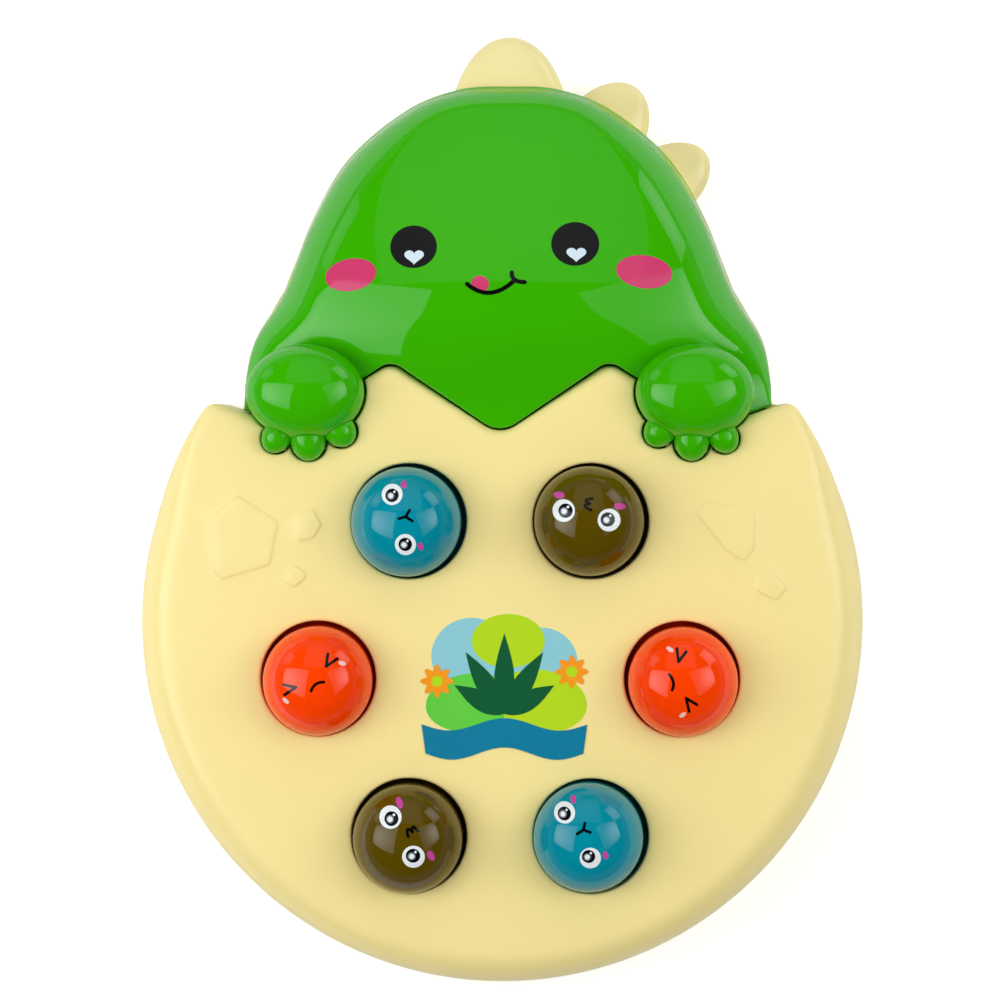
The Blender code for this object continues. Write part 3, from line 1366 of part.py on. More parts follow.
def main():
    clear_scene()
    parts = make_collection("whack_a_mole_toy", False)
    tools = make_collection("cutters", True)
    cream = make_material("cream_abs", "F5EAA5", 0.35)
    glossy_cream = make_material("glossy_cream_abs", "F3EDAC", 0.15)
    green = make_material("glossy_green_abs", "3EBB12", 0.12)
    moles = {
        "blue": make_material("blue_abs", "0091AE", 0.10),
        "olive": make_material("olive_abs", "6B5D00", 0.10),
        "orange": make_material("orange_abs", "FF4E08", 0.10),
    }
    steel = make_material("zinc_plated_steel", "B8BCC0", 0.35, 1.0)
    board_green = make_material("board_laminate", "1E5A34", 0.45)
    black = make_material("black_nylon", "1A1A1C", 0.45)
    resin = make_material("black_resin", "141416", 0.30)
    clear = make_material("clear_epoxy", "F2F2EE", 0.10)
    paper = make_material("speaker_paper", "2A2A2C", 0.80)
    sleeve = make_material("cell_sleeve", "3A3D45", 0.30)
    brass = make_material("nickel_plated_steel", "C9C6BE", 0.30, 1.0)
    rubber = make_material("dark_rubber", "2B2B2B", 0.85)

    base = make_base(parts, tools, cream)
    make_head_cover(parts, tools, green)
    make_egg_cover(parts, tools, cream)
    cut(base, *spike_cutters(tools))
    make_spikes(parts, glossy_cream)
    make_moles(parts, moles)
    make_springs(parts, steel)
    make_board(parts, tools, board_green, black, resin, clear)
    make_speaker(parts, tools, steel, paper)
    make_cells(parts, tools, sleeve, brass)
    make_door(parts, tools, cream, steel)
    make_power_switch(parts, tools, black)
    make_fasteners(parts, steel, rubber)


main()
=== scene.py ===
"""Looks of a tapping toy: an egg-shaped cream shell with six sprung domes and a green creature's head."""

import json
import math

import bmesh
import bpy
import numpy as np
from mathutils import Matrix, Vector
from mathutils.geometry import delaunay_2d_cdt


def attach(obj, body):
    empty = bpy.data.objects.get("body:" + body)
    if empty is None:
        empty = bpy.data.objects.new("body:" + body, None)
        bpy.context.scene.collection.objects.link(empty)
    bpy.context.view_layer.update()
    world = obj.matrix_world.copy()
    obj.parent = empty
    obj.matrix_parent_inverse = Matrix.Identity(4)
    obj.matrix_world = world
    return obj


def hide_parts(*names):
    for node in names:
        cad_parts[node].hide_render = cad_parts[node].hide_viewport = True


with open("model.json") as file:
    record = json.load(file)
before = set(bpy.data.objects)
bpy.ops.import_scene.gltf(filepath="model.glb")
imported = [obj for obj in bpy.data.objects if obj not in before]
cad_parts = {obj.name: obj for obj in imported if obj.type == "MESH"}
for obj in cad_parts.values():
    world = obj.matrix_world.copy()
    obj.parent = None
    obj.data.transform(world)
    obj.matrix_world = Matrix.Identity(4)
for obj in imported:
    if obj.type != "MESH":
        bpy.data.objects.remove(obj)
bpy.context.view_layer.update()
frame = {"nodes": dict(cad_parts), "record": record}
carried = frame["nodes"]

# Sizes in millimetres. Outlines, heights and places are the part's own; walls, gaps, rolled edges, the
# head's fall, the spikes and the insides of the domes are this scene's.
EGG_Y = -29.55
EGG_RADIUS = 95.4
EGG_HEIGHT, EGG_CROWN = 40.0, 2.0
EGG_EDGE = (9.0, 12.0)
RIM, HEAD_RIM = (3.0, 3.0), (0.8, 0.8)
DRAFT = 0.8
TIP_SLOPE = math.radians(19.3)
TIP_ROUND, TIP_TAPER = 4.0, 35.0
NOTCH_REACH, NOTCH_ROUND = 48.8, 7.3
PEAK = (28.4, 68.0)
PEAK_ROUND = 5.0
HOLLOW = (55.2, 50.8)
HOLLOW_ROUND = 3.0
NECK_GAP = 0.45
HEAD_AXIS_X = 1.6
HEAD_HALF_WIDTH = 69.3
HEAD_REACH, SHOULDER_REACH = 141.3, 62.0
HEAD_SIDE_SHARES = ((0.97, 0.155), (0.86, 0.32), (0.75, 0.56), (0.61, 0.762), (0.39, 0.922), (0.19, 0.99))
BROW_EDGE, CHEEK_EDGE = (5.5, 7.0), (13.0, 13.5)
HEAD_TAPER = 30.0
CREST_HEIGHT, CREST_REACH = 48.0, 80.0
FACE_FALL, FACE_CROWN = 0.0064, 0.0034
NECK_HEIGHT = 40.0
PARTING_Z = 16.0
SHELL_LOW = 16.3
WALL = 1.8
HOLE_RING_Y, HOLE_RING_RADIUS, HOLE_RADIUS = -43.85, 47.3, 15.05
COLLAR_LENGTH = 11.5
MOLE_RADIUS, MOLE_RISE, MOLE_PROUD = 14.3, 13.0, 1.5
MOLE_WALL, MOLE_ROOF, STEM_RADIUS, STEM_DEPTH = 1.8, 5.4, 3.0, 9.0
LIP_GAP, LIP_REACH, LIP_THICKNESS = 0.3, 2.0, 1.6
# How far each loose dome sits to one side of its hole.
DOME_SHIFTS = ((0.25, -0.6), (-0.4, 0.05), (-0.6, -0.15), (0.0, -0.5), (-0.25, -0.55), (-0.6, -0.1))
MOLES = ("orange_right", "olive_upper", "blue_upper", "orange_left", "olive_lower", "blue_lower")
PAW_X, PAW_REACH = 50.6, 60.2
PAW_HALF = (15.4, 12.4)
PAW_EQUATOR, PAW_RISE, PAW_GAP, PAW_LOW = 42.5, 10.0, 0.45, 24.0
TOES = ((0.500, -0.976, 0.298), (-0.052, -1.065, 0.363), (-0.604, -0.831, 0.323))
# A toe is a ball drawn out towards its paw; it nearly fills its cut-out.
TOE_EQUATOR, TOE_STRETCH, TOE_GROW = 42.0, 0.25, 0.2
PATCHES = (
    ((-0.717, 0.349), (-0.788, 0.289), (-0.780, 0.143), (-0.761, 0.121), (-0.629, 0.160), (-0.605, 0.278)),
    ((-0.512, 0.315), (-0.558, 0.289), (-0.558, 0.223), (-0.509, 0.233), (-0.487, 0.269)),
    ((-0.564, 0.162), (-0.589, 0.113), (-0.560, 0.099), (-0.522, 0.132)),
    ((0.559, 0.338), (0.537, 0.299), (0.616, 0.201), (0.665, 0.170), (0.691, 0.206), (0.693, 0.302)),
    ((0.734, 0.155), (0.699, 0.116), (0.696, 0.092), (0.753, 0.064), (0.781, 0.099)),
)
PATCH_RISE, PATCH_SLOPE, PATCH_ROUND = 0.5, 0.9, 1.2
# Round of the cream edge at each opening, and where lines of corners run to give it shape.
EDGE_ROUND, EDGE_LINES = 0.7, (0.12, 0.3, 0.7)
PATCH_LINES = (-0.45, -0.25, 0.25, 0.45)
EGG_ROLL_STEPS, HEAD_ROLL_STEPS, TOE_STEPS = 14, 18, 40
# Spacing of the corners on the open parts of the shells.
EGG_SPACING, HEAD_SPACING = 3.4, 2.2
SPIKES = {"large": (0.0, 13.7, 14.2), "middle": (0.26, 9.2, 9.9), "small": (0.457, 9.2, 8.8)}
SPIKE_DEPTH, SPIKE_FLATNESS, SPIKE_Z = 1.82, 0.42, 8.9


def to_linear(hex_colour):
    """An sRGB hex colour as linear red, green, blue and alpha."""
    channels = [int(hex_colour[at : at + 2], 16) / 255 for at in (0, 2, 4)]
    return (*[c / 12.92 if c <= 0.04045 else ((c + 0.055) / 1.055) ** 2.4 for c in channels], 1.0)


def add(tree, kind, links=(), **settings):
    """Adds one node. Settings name properties, or inputs as in_Name; links are (input, output) pairs."""
    made = tree.nodes.new(kind)
    for key, value in settings.items():
        if key.startswith("in_"):
            name = key[3:].replace("_", " ")
            made.inputs[int(name) if name.isdigit() else name].default_value = value
        else:
            setattr(made, key, value)
    for socket, source in links:
        tree.links.new(source, made.inputs[socket])
    return made


def noise(tree, place, size_mm, detail):
    """Noise between 0 and 1, its lumps about size_mm across."""
    made = add(tree, "ShaderNodeTexNoise", [("Vector", place)], in_Scale=1000 / size_mm, in_Detail=detail)
    return made.outputs["Fac"]


def mapped(tree, value, low, high, **settings):
    """A value between 0 and 1, or between the settings' own ends, mapped to run from low to high."""
    made = add(tree, "ShaderNodeMapRange", [("Value", value)], in_To_Min=low, in_To_Max=high, **settings)
    return made.outputs[0]


def tinted(tree, value, colour):
    """A linear colour with its brightness scaled by a value."""
    return add(tree, "ShaderNodeHueSaturation", [("Value", value)], in_Color=colour).outputs[0]


def bumped(tree, height, links=(), **settings):
    return add(tree, "ShaderNodeBump", [("Height", height), *links], **settings).outputs[0]


def new_material(name):
    made = bpy.data.materials.new(name)
    made.use_nodes = True
    made.node_tree.nodes.clear()
    tree = made.node_tree
    place = add(tree, "ShaderNodeTexCoord").outputs["Object"]
    return made, tree, place


def close_material(tree, shader):
    add(tree, "ShaderNodeOutputMaterial", [("Surface", shader.outputs[0])])


def close_glossy(tree, links, **settings):
    close_material(tree, add(tree, "ShaderNodeBsdfPrincipled", links, **settings))


# Nearly all of a noise lies between these ends.
NOISE_ENDS = {"in_From_Min": 0.3, "in_From_Max": 0.7}


def moulded(name, colour, roughness, swirl=0.03, peel=0.02, sway=0.0, uneven=0.15):
    """Moulded or cast plastic: faint colour swirl from the melt, and a very shallow ripple in the gloss."""
    made, tree, place = new_material(name)
    # Melt swirl about 30 mm across, at most a few hundredths of the colour's brightness.
    melt = mapped(tree, noise(tree, place, 29.4, 3.0), 1 - swirl, 1 + swirl, **NOISE_ENDS)
    tint = tinted(tree, melt, to_linear(colour))
    # Gloss differs a little where the tool was polished by hand, in spots about 8 mm across.
    spots = noise(tree, place, 8.33, 2.0)
    rough = mapped(tree, spots, roughness * (1 - uneven), roughness * (1 + uneven), **NOISE_ENDS)
    # Ripple of the tool's surface, about 1.5 mm from crest to crest.
    ripple = noise(tree, place, 1.54, 1.5)
    bump = bumped(tree, ripple, in_Strength=peel, in_Distance=0.0004)
    if sway:
        # Slow unevenness of a thin wall that shrank as it cooled, about 25 mm across; sway is in mm.
        sink = noise(tree, place, 25.0, 0.0)
        bump = bumped(tree, sink, [("Normal", bump)], in_Distance=sway * 0.001)
    close_glossy(tree, [("Base Color", tint), ("Roughness", rough), ("Normal", bump)], in_IOR=1.5)
    return made


def metal(name, colour, roughness, grain_mm, bump_strength):
    """Plated or drawn steel: fine grain in the roughness and a slight unevenness of the plating."""
    made, tree, place = new_material(name)
    grain = noise(tree, place, grain_mm, 4.0)
    rough = mapped(tree, grain, roughness * 0.6, roughness * 1.5)
    tint = tinted(tree, mapped(tree, grain, 0.85, 1.1), to_linear(colour))
    bump = bumped(tree, grain, in_Strength=bump_strength, in_Distance=0.0002)
    close_glossy(tree, [("Base Color", tint), ("Roughness", rough), ("Normal", bump)], in_Metallic=1.0)
    return made


def grained(name, colour, roughness, grain_mm, depth, contrast=0.12):
    """Dull moulded or pressed stuff with a visible grain, its depth in mm: rubber, nylon, paper, laminate."""
    made, tree, place = new_material(name)
    grain = noise(tree, place, grain_mm, 5.0)
    tint = tinted(tree, mapped(tree, grain, 1 - contrast, 1 + contrast), to_linear(colour))
    bump = bumped(tree, grain, in_Strength=0.6, in_Distance=depth * 0.001)
    close_glossy(tree, [("Base Color", tint), ("Normal", bump)], in_Roughness=roughness)
    return made


def ink(name, colour, roughness=0.22):
    """Pad-printed ink: an even film with faint pinholes 0.4 mm apart."""
    made, tree, place = new_material(name)
    tint = tinted(tree, mapped(tree, noise(tree, place, 0.4, 2.0), 0.94, 1.06), to_linear(colour))
    close_glossy(tree, [("Base Color", tint)], in_Roughness=roughness, in_IOR=1.5)
    return made


# The finish of each material slot of the part.
finishes = {
    "cream_abs": moulded("cream_moulded_abs", "F8E69A", 0.3, 0.004, 0.02, uneven=0.01),
    "glossy_cream_abs": moulded("glossy_cream_moulded_abs", "F2E6A4", 0.12, 0.004, 0.005),
    "glossy_green_abs": moulded("glossy_green_moulded_abs", "38B000", 0.035, 0.01, 0.003, sway=0.08),
    "blue_abs": moulded("blue_moulded_abs", "008CA0", 0.035, 0.01, 0.004),
    "olive_abs": moulded("olive_moulded_abs", "584700", 0.035, 0.01, 0.004),
    "orange_abs": moulded("orange_moulded_abs", "FF4200", 0.035, 0.01, 0.004),
    "spring_steel": metal("drawn_spring_steel", "A9ADB2", 0.25, 1.1, 0.1),
    "zinc_plated_steel": metal("zinc_plated_steel", "B8BCC0", 0.3, 1.4, 0.1),
    "nickel_plated_steel": metal("nickel_plated_steel", "C9C6BE", 0.16, 2.5, 0.05),
    "board_laminate": grained("solder_resist_laminate", "1E5A34", 0.35, 0.9, 0.02),
    "black_nylon": grained("black_moulded_nylon", "1A1A1C", 0.5, 0.5, 0.02),
    "black_resin": moulded("black_cast_resin", "141416", 0.15, 0.05, 0.05),
    "clear_epoxy": moulded("clear_cast_epoxy", "F2F2EE", 0.08, 0.01, 0.01),
    "speaker_paper": grained("pressed_speaker_paper", "2A2A2C", 0.85, 0.7, 0.05, 0.2),
    "cell_sleeve": moulded("shrunk_cell_sleeve", "3A3D45", 0.3, 0.03, 0.03),
    "dark_rubber": grained("dark_moulded_rubber", "2B2B2B", 0.8, 0.6, 0.04),
}
black_ink = ink("black_print_ink", "08090C", 0.08)
white_ink = ink("white_print_ink", "E9F0F2")
pale_blue_ink = ink("pale_blue_print_ink", "D3E6F2")
pink_ink = ink("pink_print_ink", "D03E6E", 0.08)
magenta_ink = ink("magenta_print_ink", "C8449C")
tear_ink = ink("pale_pink_print_ink", "F4C8C8")
grey_ink = ink("grey_print_ink", "6E7680")

for row in frame["record"]["subparts"]:
    shown = carried[row["node"]]
    shown.data.materials.clear()
    shown.data.materials.append(finishes[row["material_slot"]])


def smooth(value):
    clamped = np.clip(value, 0.0, 1.0)
    return clamped * clamped * (3 - 2 * clamped)


def arc(centre, radius, start, end, steps):
    angles = np.linspace(start, end, steps + 1)
    return np.column_stack([centre[0] + radius * np.cos(angles), centre[1] + radius * np.sin(angles)])


def rounded_corner(before, at, after, radius, steps=10):
    """Points of the arc that rounds a corner between two straight runs."""
    before, at, after = (np.array(point, float) for point in (before, at, after))
    back = (before - at) / np.linalg.norm(before - at)
    on = (after - at) / np.linalg.norm(after - at)
    half = math.acos(np.clip(back @ on, -1, 1)) / 2
    middle = (back + on) / np.linalg.norm(back + on)
    centre = at + middle * radius / math.sin(half)
    first = at + back * radius / math.tan(half) - centre
    last = at + on * radius / math.tan(half) - centre
    start = math.atan2(first[1], first[0])
    sweep = math.atan2(first[0] * last[1] - first[1] * last[0], first @ last)
    return arc(centre, radius, start, start + sweep, steps)


def rounded_polygon(corners, radius, steps=5):
    count = len(corners)
    return np.vstack(
        [
            rounded_corner(corners[at - 1], corners[at], corners[(at + 1) % count], radius, steps)
            for at in range(count)
        ]
    )


def spline(knots, before, after, steps):
    """Points of a smooth curve through the knots; before and after only set how its ends run."""
    run = [np.array(knot, float) for knot in (before, *knots, after)]
    points = []
    for a, b, c, d in zip(run, run[1:], run[2:], run[3:]):
        for step in range(steps):
            t = step / steps
            square_part = (a - b * 2.5 + c * 2 - d / 2) * t**2
            cube_part = ((d - a) / 2 + (b - c) * 1.5) * t**3
            points.append(b + (c - a) / 2 * t + square_part + cube_part)
    return np.array([*points, run[-2]])


def mirrored(points):
    return points[::-1] * (-1, 1)


def even(points, spacing):
    """A closed line with its long runs divided; a third column is shared out the same way."""
    made = []
    for a, b in zip(points, np.roll(points, -1, axis=0)):
        count = max(1, int(np.ceil(np.hypot(*(b - a)[:2]) / spacing)))
        made += [a + (b - a) * step / count for step in range(count)]
    made = np.array(made)
    apart = np.hypot(*(np.roll(made, -1, axis=0) - made)[:, :2].T)
    return made[apart > 1e-3]


def inset(points, distances):
    """Moves each point of a closed line, counter-clockwise, inwards by its own distance."""
    along = points - np.roll(points, 1, axis=0)
    onward = np.roll(points, -1, axis=0) - points
    along /= np.linalg.norm(along, axis=1)[:, None]
    onward /= np.linalg.norm(onward, axis=1)[:, None]
    middle = along + onward
    middle /= np.linalg.norm(middle, axis=1)[:, None]
    normal = np.column_stack([-middle[:, 1], middle[:, 0]])
    stretch = np.maximum(np.einsum("ij,ij->i", normal, np.column_stack([-along[:, 1], along[:, 0]])), 0.7)
    return points + normal * (np.asarray(distances) / stretch)[:, None]


def nearest(points, line):
    """For each point, its distance to a closed line, the nearest place on it and the third column there."""
    start = line[:, :2]
    run = np.roll(start, -1, axis=0) - start
    square = np.maximum((run**2).sum(1), 1e-12)
    far = np.empty(len(points))
    foot = np.empty((len(points), 2))
    worth = np.zeros(len(points))
    ahead = np.roll(line, -1, axis=0)
    for first in range(0, len(points), 1500):
        some = points[first : first + 1500]
        offset = some[:, None, :] - start[None]
        share = np.clip((offset * run).sum(2) / square, 0, 1)
        gap = ((offset - share[..., None] * run) ** 2).sum(2)
        best = gap.argmin(1)
        rows = np.arange(len(some))
        t = share[rows, best]
        far[first : first + 1500] = np.sqrt(gap[rows, best])
        foot[first : first + 1500] = start[best] + run[best] * t[:, None]
        if line.shape[1] > 2:
            worth[first : first + 1500] = line[best, 2] * (1 - t) + ahead[best, 2] * t
    return far, foot, worth


def inside(points, line):
    """Which points lie inside a closed line."""
    x, y = points[:, 0][:, None], points[:, 1][:, None]
    ax, ay = line[:, 0], line[:, 1]
    bx, by = np.roll(ax, -1), np.roll(ay, -1)
    crossed = (ay > y) != (by > y)
    with np.errstate(divide="ignore", invalid="ignore"):
        cut = (bx - ax) * (y - ay) / (by - ay) + ax
    return (crossed & (x < cut)).sum(1) % 2 == 1


def honeycomb(low, high, spacing):
    """Points of an even triangular pattern that fills a box."""
    rows = np.arange(low[1], high[1], spacing * math.sqrt(0.75))
    points = []
    for index, y in enumerate(rows):
        xs = np.arange(low[0] + (index % 2) * spacing / 2, high[0], spacing)
        points.append(np.column_stack([xs, np.full(len(xs), y)]))
    return np.vstack(points)


def fill(outline, openings=(), lines=(), loose=()):
    """Flat triangles between an outline and its openings, with the lines and loose points as corners."""
    corners, edges, faces = [], [], []
    for line in (outline, *openings):
        faces.append(list(range(len(corners), len(corners) + len(line))))
        corners += [Vector(point[:2]) for point in line]
    for line in lines:
        ids = list(range(len(corners), len(corners) + len(line)))
        edges += list(zip(ids, ids[1:] + ids[:1]))
        corners += [Vector(point[:2]) for point in line]
    corners += [Vector(point[:2]) for point in loose]
    places, _, triangles, _, _, owners = delaunay_2d_cdt(corners, edges, faces, 1, 1e-4, True)
    kept = [triangle for triangle, owner in zip(triangles, owners) if list(owner) == [0]]
    return np.array([tuple(place) for place in places]), kept


def deselect():
    if bpy.context.object and bpy.context.object.mode != "OBJECT":
        bpy.ops.object.mode_set(mode="OBJECT")
    bpy.ops.object.select_all(action="DESELECT")


def make_active(thing):
    deselect()
    thing.select_set(True)
    bpy.context.view_layer.objects.active = thing


def apply_all(thing):
    make_active(thing)
    for modifier in list(thing.modifiers):
        bpy.ops.object.modifier_apply(modifier=modifier.name)


def settle(thing, name, body, slot, stands_for=(), finish=None, angle=35):
    """Names a finished piece, puts its place into its mesh, gives it its slot's finish or the finish given,
    and ties it to its body.
    """
    apply_all(thing)
    bpy.ops.object.transform_apply(location=True, rotation=True, scale=True)
    bpy.ops.object.shade_smooth_by_angle(angle=math.radians(angle))
    thing.name = name
    thing.data.name = name
    thing.data.materials.clear()
    thing.data.materials.append(finish or finishes[slot])
    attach(thing, body)
    if stands_for:
        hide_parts(*stands_for)
    return thing


def mesh_piece(places, faces):
    """A piece from places in millimetres and faces."""
    mesh = bpy.data.meshes.new("piece")
    corners = [tuple(place) for place in np.asarray(places) * 0.001]
    mesh.from_pydata(corners, [], [tuple(face) for face in faces])
    mesh.update()
    thing = bpy.data.objects.new("piece", mesh)
    bpy.context.collection.objects.link(thing)
    return thing


def hole_centres():
    turns = [math.pi / 3 * at for at in range(6)]
    ring = [(HOLE_RING_RADIUS * math.cos(turn), HOLE_RING_RADIUS * math.sin(turn)) for turn in turns]
    return [np.array([x, HOLE_RING_Y + y]) for x, y in ring]


def egg_height(places):
    square = places[:, 0] ** 2 + (places[:, 1] - EGG_Y) ** 2
    return EGG_HEIGHT + EGG_CROWN * (1 - (square / EGG_RADIUS**2))


def head_height(places):
    """The head's pillow: highest across the mouth, falling to the brow, to both sides and to the neck."""
    reach = places[:, 1] - EGG_Y
    back = np.maximum(reach - CREST_REACH, 0)
    front = smooth((reach - NOTCH_REACH) / (CREST_REACH - NOTCH_REACH))
    ridge = NECK_HEIGHT + (CREST_HEIGHT - NECK_HEIGHT) * front - FACE_FALL * back**2
    crown_share = smooth((reach - NOTCH_REACH + 20) / 40)
    return ridge - FACE_CROWN * crown_share * (places[:, 0] - HEAD_AXIS_X) ** 2


def rolled(depth, width, drop):
    """Drop of a rolled edge at a depth inside its line."""
    left = 1 - np.clip(depth / width, 0, 1)
    return drop * (1 - np.sqrt(np.maximum(1 - left**2, 0)))


def tip_arc():
    along = np.array([math.cos(TIP_SLOPE), math.sin(TIP_SLOPE)])
    start = np.array(HOLLOW) - np.array([-along[1], along[0]]) * TIP_ROUND
    reach = EGG_RADIUS - TIP_ROUND
    half = start @ along
    centre = start + along * (-half + math.sqrt(half * half - start @ start + reach * reach))
    first = math.atan2(centre[1], centre[0])
    return arc(centre, TIP_ROUND, first, math.pi / 2 + TIP_SLOPE, 12) + (0, EGG_Y)


def zigzag(lift):
    """The zigzag from the right hollow's corner to the left one, without the hollows' own rounds."""
    hollow, peak = (np.array([x, y + EGG_Y + lift]) for x, y in (HOLLOW, PEAK))
    notch = np.array([0, NOTCH_REACH + EGG_Y + lift])
    right = rounded_corner(hollow, peak, notch, PEAK_ROUND, 12)
    middle = rounded_corner(peak, notch, peak * (-1, 1), NOTCH_ROUND, 12)
    return right, middle


def tip_line_y(x):
    return EGG_Y + HOLLOW[1] + (x - HOLLOW[0]) * math.tan(TIP_SLOPE)


def egg_outline():
    tip = tip_arc()
    right_end = tip[0] - (0, EGG_Y)
    end = math.atan2(right_end[1], right_end[0])
    round_part = arc((0, EGG_Y), EGG_RADIUS, -math.pi - end, end, 460)[1:-1]
    right_peak, notch = zigzag(0)
    hollow = np.array(HOLLOW) + (0, EGG_Y)
    peak = np.array(PEAK) + (0, EGG_Y)
    hollow_round = rounded_corner(tip[-1], hollow, peak, HOLLOW_ROUND, 6)
    side = np.vstack([tip, hollow_round, right_peak])
    line = np.vstack([round_part, side, notch, mirrored(side)])
    spacing = np.hypot(*(round_part[1] - round_part[0]))
    along = np.minimum(np.arange(len(round_part)) + 1, len(round_part) - np.arange(len(round_part))) * spacing
    shares = np.concatenate([smooth(along / TIP_TAPER), np.zeros(len(line) - len(round_part))])
    return even(np.column_stack([line, shares]), 1.4)


def head_side(side, steps):
    def place(across, up):
        x = HEAD_AXIS_X + side * HEAD_HALF_WIDTH * across
        return (x, EGG_Y + SHOULDER_REACH + (HEAD_REACH - SHOULDER_REACH) * up)

    knots = [place(1, 0), *(place(*shares) for shares in HEAD_SIDE_SHARES), place(0, 1)]
    below = place(1, -HEAD_SIDE_SHARES[0][1])
    beyond = place(-HEAD_SIDE_SHARES[-1][0], HEAD_SIDE_SHARES[-1][1])
    return spline(knots, below, beyond, steps)


def head_edge(steps):
    return np.vstack([head_side(1, steps), head_side(-1, steps)[::-1][1:]])


def head_outline():
    peak_x = PAW_X - PAW_HALF[0]
    inner_y = EGG_Y + PEAK[1] - (peak_x - PEAK[0]) * (PEAK[1] - HOLLOW[1]) / (HOLLOW[0] - PEAK[0]) + NECK_GAP
    outer_x = PAW_X + PAW_HALF[0] * 0.8

    def neck(side):
        shoulder = HEAD_AXIS_X + side * HEAD_HALF_WIDTH
        return np.array(
            [
                (side * peak_x, inner_y),
                (side * outer_x, tip_line_y(outer_x) + NECK_GAP),
                (shoulder, tip_line_y(abs(shoulder)) + NECK_GAP),
            ]
        )

    right_peak, notch = zigzag(NECK_GAP)
    bottom = np.vstack([neck(-1)[::-1], mirrored(right_peak[::-1]), notch[::-1], right_peak[::-1], neck(1)])
    edge = head_edge(16)
    shares = np.concatenate([np.zeros(len(bottom)), smooth((edge[:, 1] - bottom[0, 1]) / HEAD_TAPER)])
    return even(np.column_stack([np.vstack([bottom, edge]), shares]), 1.4)


def paw_centre(side):
    return np.array([side * PAW_X, EGG_Y + PAW_REACH])


def paw_ring(side, grow, steps=120):
    angles = np.linspace(0, 2 * math.pi, steps, endpoint=False)
    return paw_centre(side) + np.column_stack(
        [(PAW_HALF[0] + grow) * np.cos(angles), (PAW_HALF[1] + grow) * np.sin(angles)]
    )


def toes(side):
    return [
        (paw_centre(side) + (side * PAW_HALF[0] * across, PAW_HALF[1] * up), PAW_HALF[1] * size)
        for across, up, size in TOES
    ]


def circle(centre, radius, steps=64):
    return arc(centre, radius, 0, 2 * math.pi, steps)[:-1]


def egg_edge(share):
    """Width and drop of the egg's rolled edge, which narrows to a rim along the zigzag."""
    return [narrow + (wide - narrow) * share for wide, narrow in zip(EGG_EDGE, RIM)]


def head_edge_size(foot, share):
    """Width and drop of the head's rolled edge: narrow at the brow, wide at the cheeks, a rim at the neck."""
    cheek = smooth((np.abs(foot[:, 0] - HEAD_AXIS_X) - 16) / 36)
    sizes = [
        narrow + (brow + (wide - brow) * cheek - narrow) * share
        for brow, wide, narrow in zip(BROW_EDGE, CHEEK_EDGE, HEAD_RIM)
    ]
    return sizes[0], np.minimum(sizes[1], head_height(foot) - SHELL_LOW - 0.9)


def thicken(thing, wall):
    """Gives a surface a wall, in millimetres, on its inner side."""
    modifier = thing.modifiers.new("wall", "SOLIDIFY")
    modifier.thickness, modifier.offset = wall * 0.001, -1


def shell(line, foot_line, openings, opening_lows, lines, loose, height_at, low):
    """A closed moulded shell: its top filled and lifted, its sides drawn down, then given a wall."""
    flat, triangles = fill(line, openings, lines, loose)
    places = np.column_stack([flat, height_at(flat)])
    thing = mesh_piece(places, triangles)
    made = bmesh.new()
    made.from_mesh(thing.data)
    bmesh.ops.delete(made, geom=[v for v in made.verts if not v.link_faces], context="VERTS")
    rim = [edge for edge in made.edges if edge.is_boundary]
    drawn = bmesh.ops.extrude_edge_only(made, edges=rim)["geom"]
    feet = [v for v in drawn if isinstance(v, bmesh.types.BMVert)]
    spots = np.array([(v.co.x, v.co.y) for v in feet]) * 1000
    own_line, own_foot, _ = nearest(spots, line)
    own_foot = nearest(own_foot, foot_line)[1]
    others = [nearest(spots, opening)[0] for opening in openings]
    for index, v in enumerate(feet):
        rivals = [(own_line[index], low)]
        rivals += [(other[index], deep) for other, deep in zip(others, opening_lows)]
        v.co.z = min(rivals)[1] * 0.001
        if min(rivals)[0] == own_line[index]:
            v.co.xy = own_foot[index] * 0.001
    for face in made.faces:
        face.smooth = True
    made.to_mesh(thing.data)
    made.free()
    thicken(thing, WALL)
    return thing


# Egg shell: cream cover with its rolled edge, six holes, paw cut-outs and five raised patches.
egg_line = egg_outline()
egg_top_line = inset(egg_line[:, :2], DRAFT * egg_line[:, 2])
egg_top = np.column_stack([egg_top_line, egg_line[:, 2]])
hole_rings = [circle(centre, HOLE_RADIUS) for centre in hole_centres()]
paw_openings = [paw_ring(side, PAW_GAP) for side in (1, -1)]
all_toes = [*toes(1), *toes(-1)]
toe_openings = [circle(place, radius + PAW_GAP, TOE_STEPS) for place, radius in all_toes]
patch_lines = [
    even(rounded_polygon([(x * EGG_RADIUS, EGG_Y + y * EGG_RADIUS) for x, y in shares], PATCH_ROUND), 0.8)
    for shares in PATCHES
]


def patch_depth(places):
    """Depth inside the nearest patch, below zero outside."""
    depth = np.full(len(places), -1e3)
    for line in patch_lines:
        far = nearest(places, line)[0]
        depth = np.maximum(depth, np.where(inside(places, line), far, -far))
    return depth


def opening_distance(places):
    apart = np.full(len(places), 1e3)
    for centre in hole_centres():
        apart = np.minimum(apart, np.abs(np.hypot(*(places - centre).T) - HOLE_RADIUS))
    for line in paw_openings:
        apart = np.minimum(apart, nearest(places, line)[0])
    for place, radius in all_toes:
        gap = np.hypot(*(places - place).T) - radius - PAW_GAP
        apart = np.minimum(apart, np.where(gap > -0.05, np.abs(gap), 1e3))
    return apart


def egg_surface(places):
    far, _, share = nearest(places, egg_top)
    height = egg_height(places) - rolled(far, *egg_edge(share))
    near = np.minimum(opening_distance(places), EDGE_ROUND)
    height -= EDGE_ROUND - np.sqrt(EDGE_ROUND**2 - (EDGE_ROUND - near) ** 2)
    return height + PATCH_RISE * smooth(patch_depth(places) / PATCH_SLOPE + 0.5)


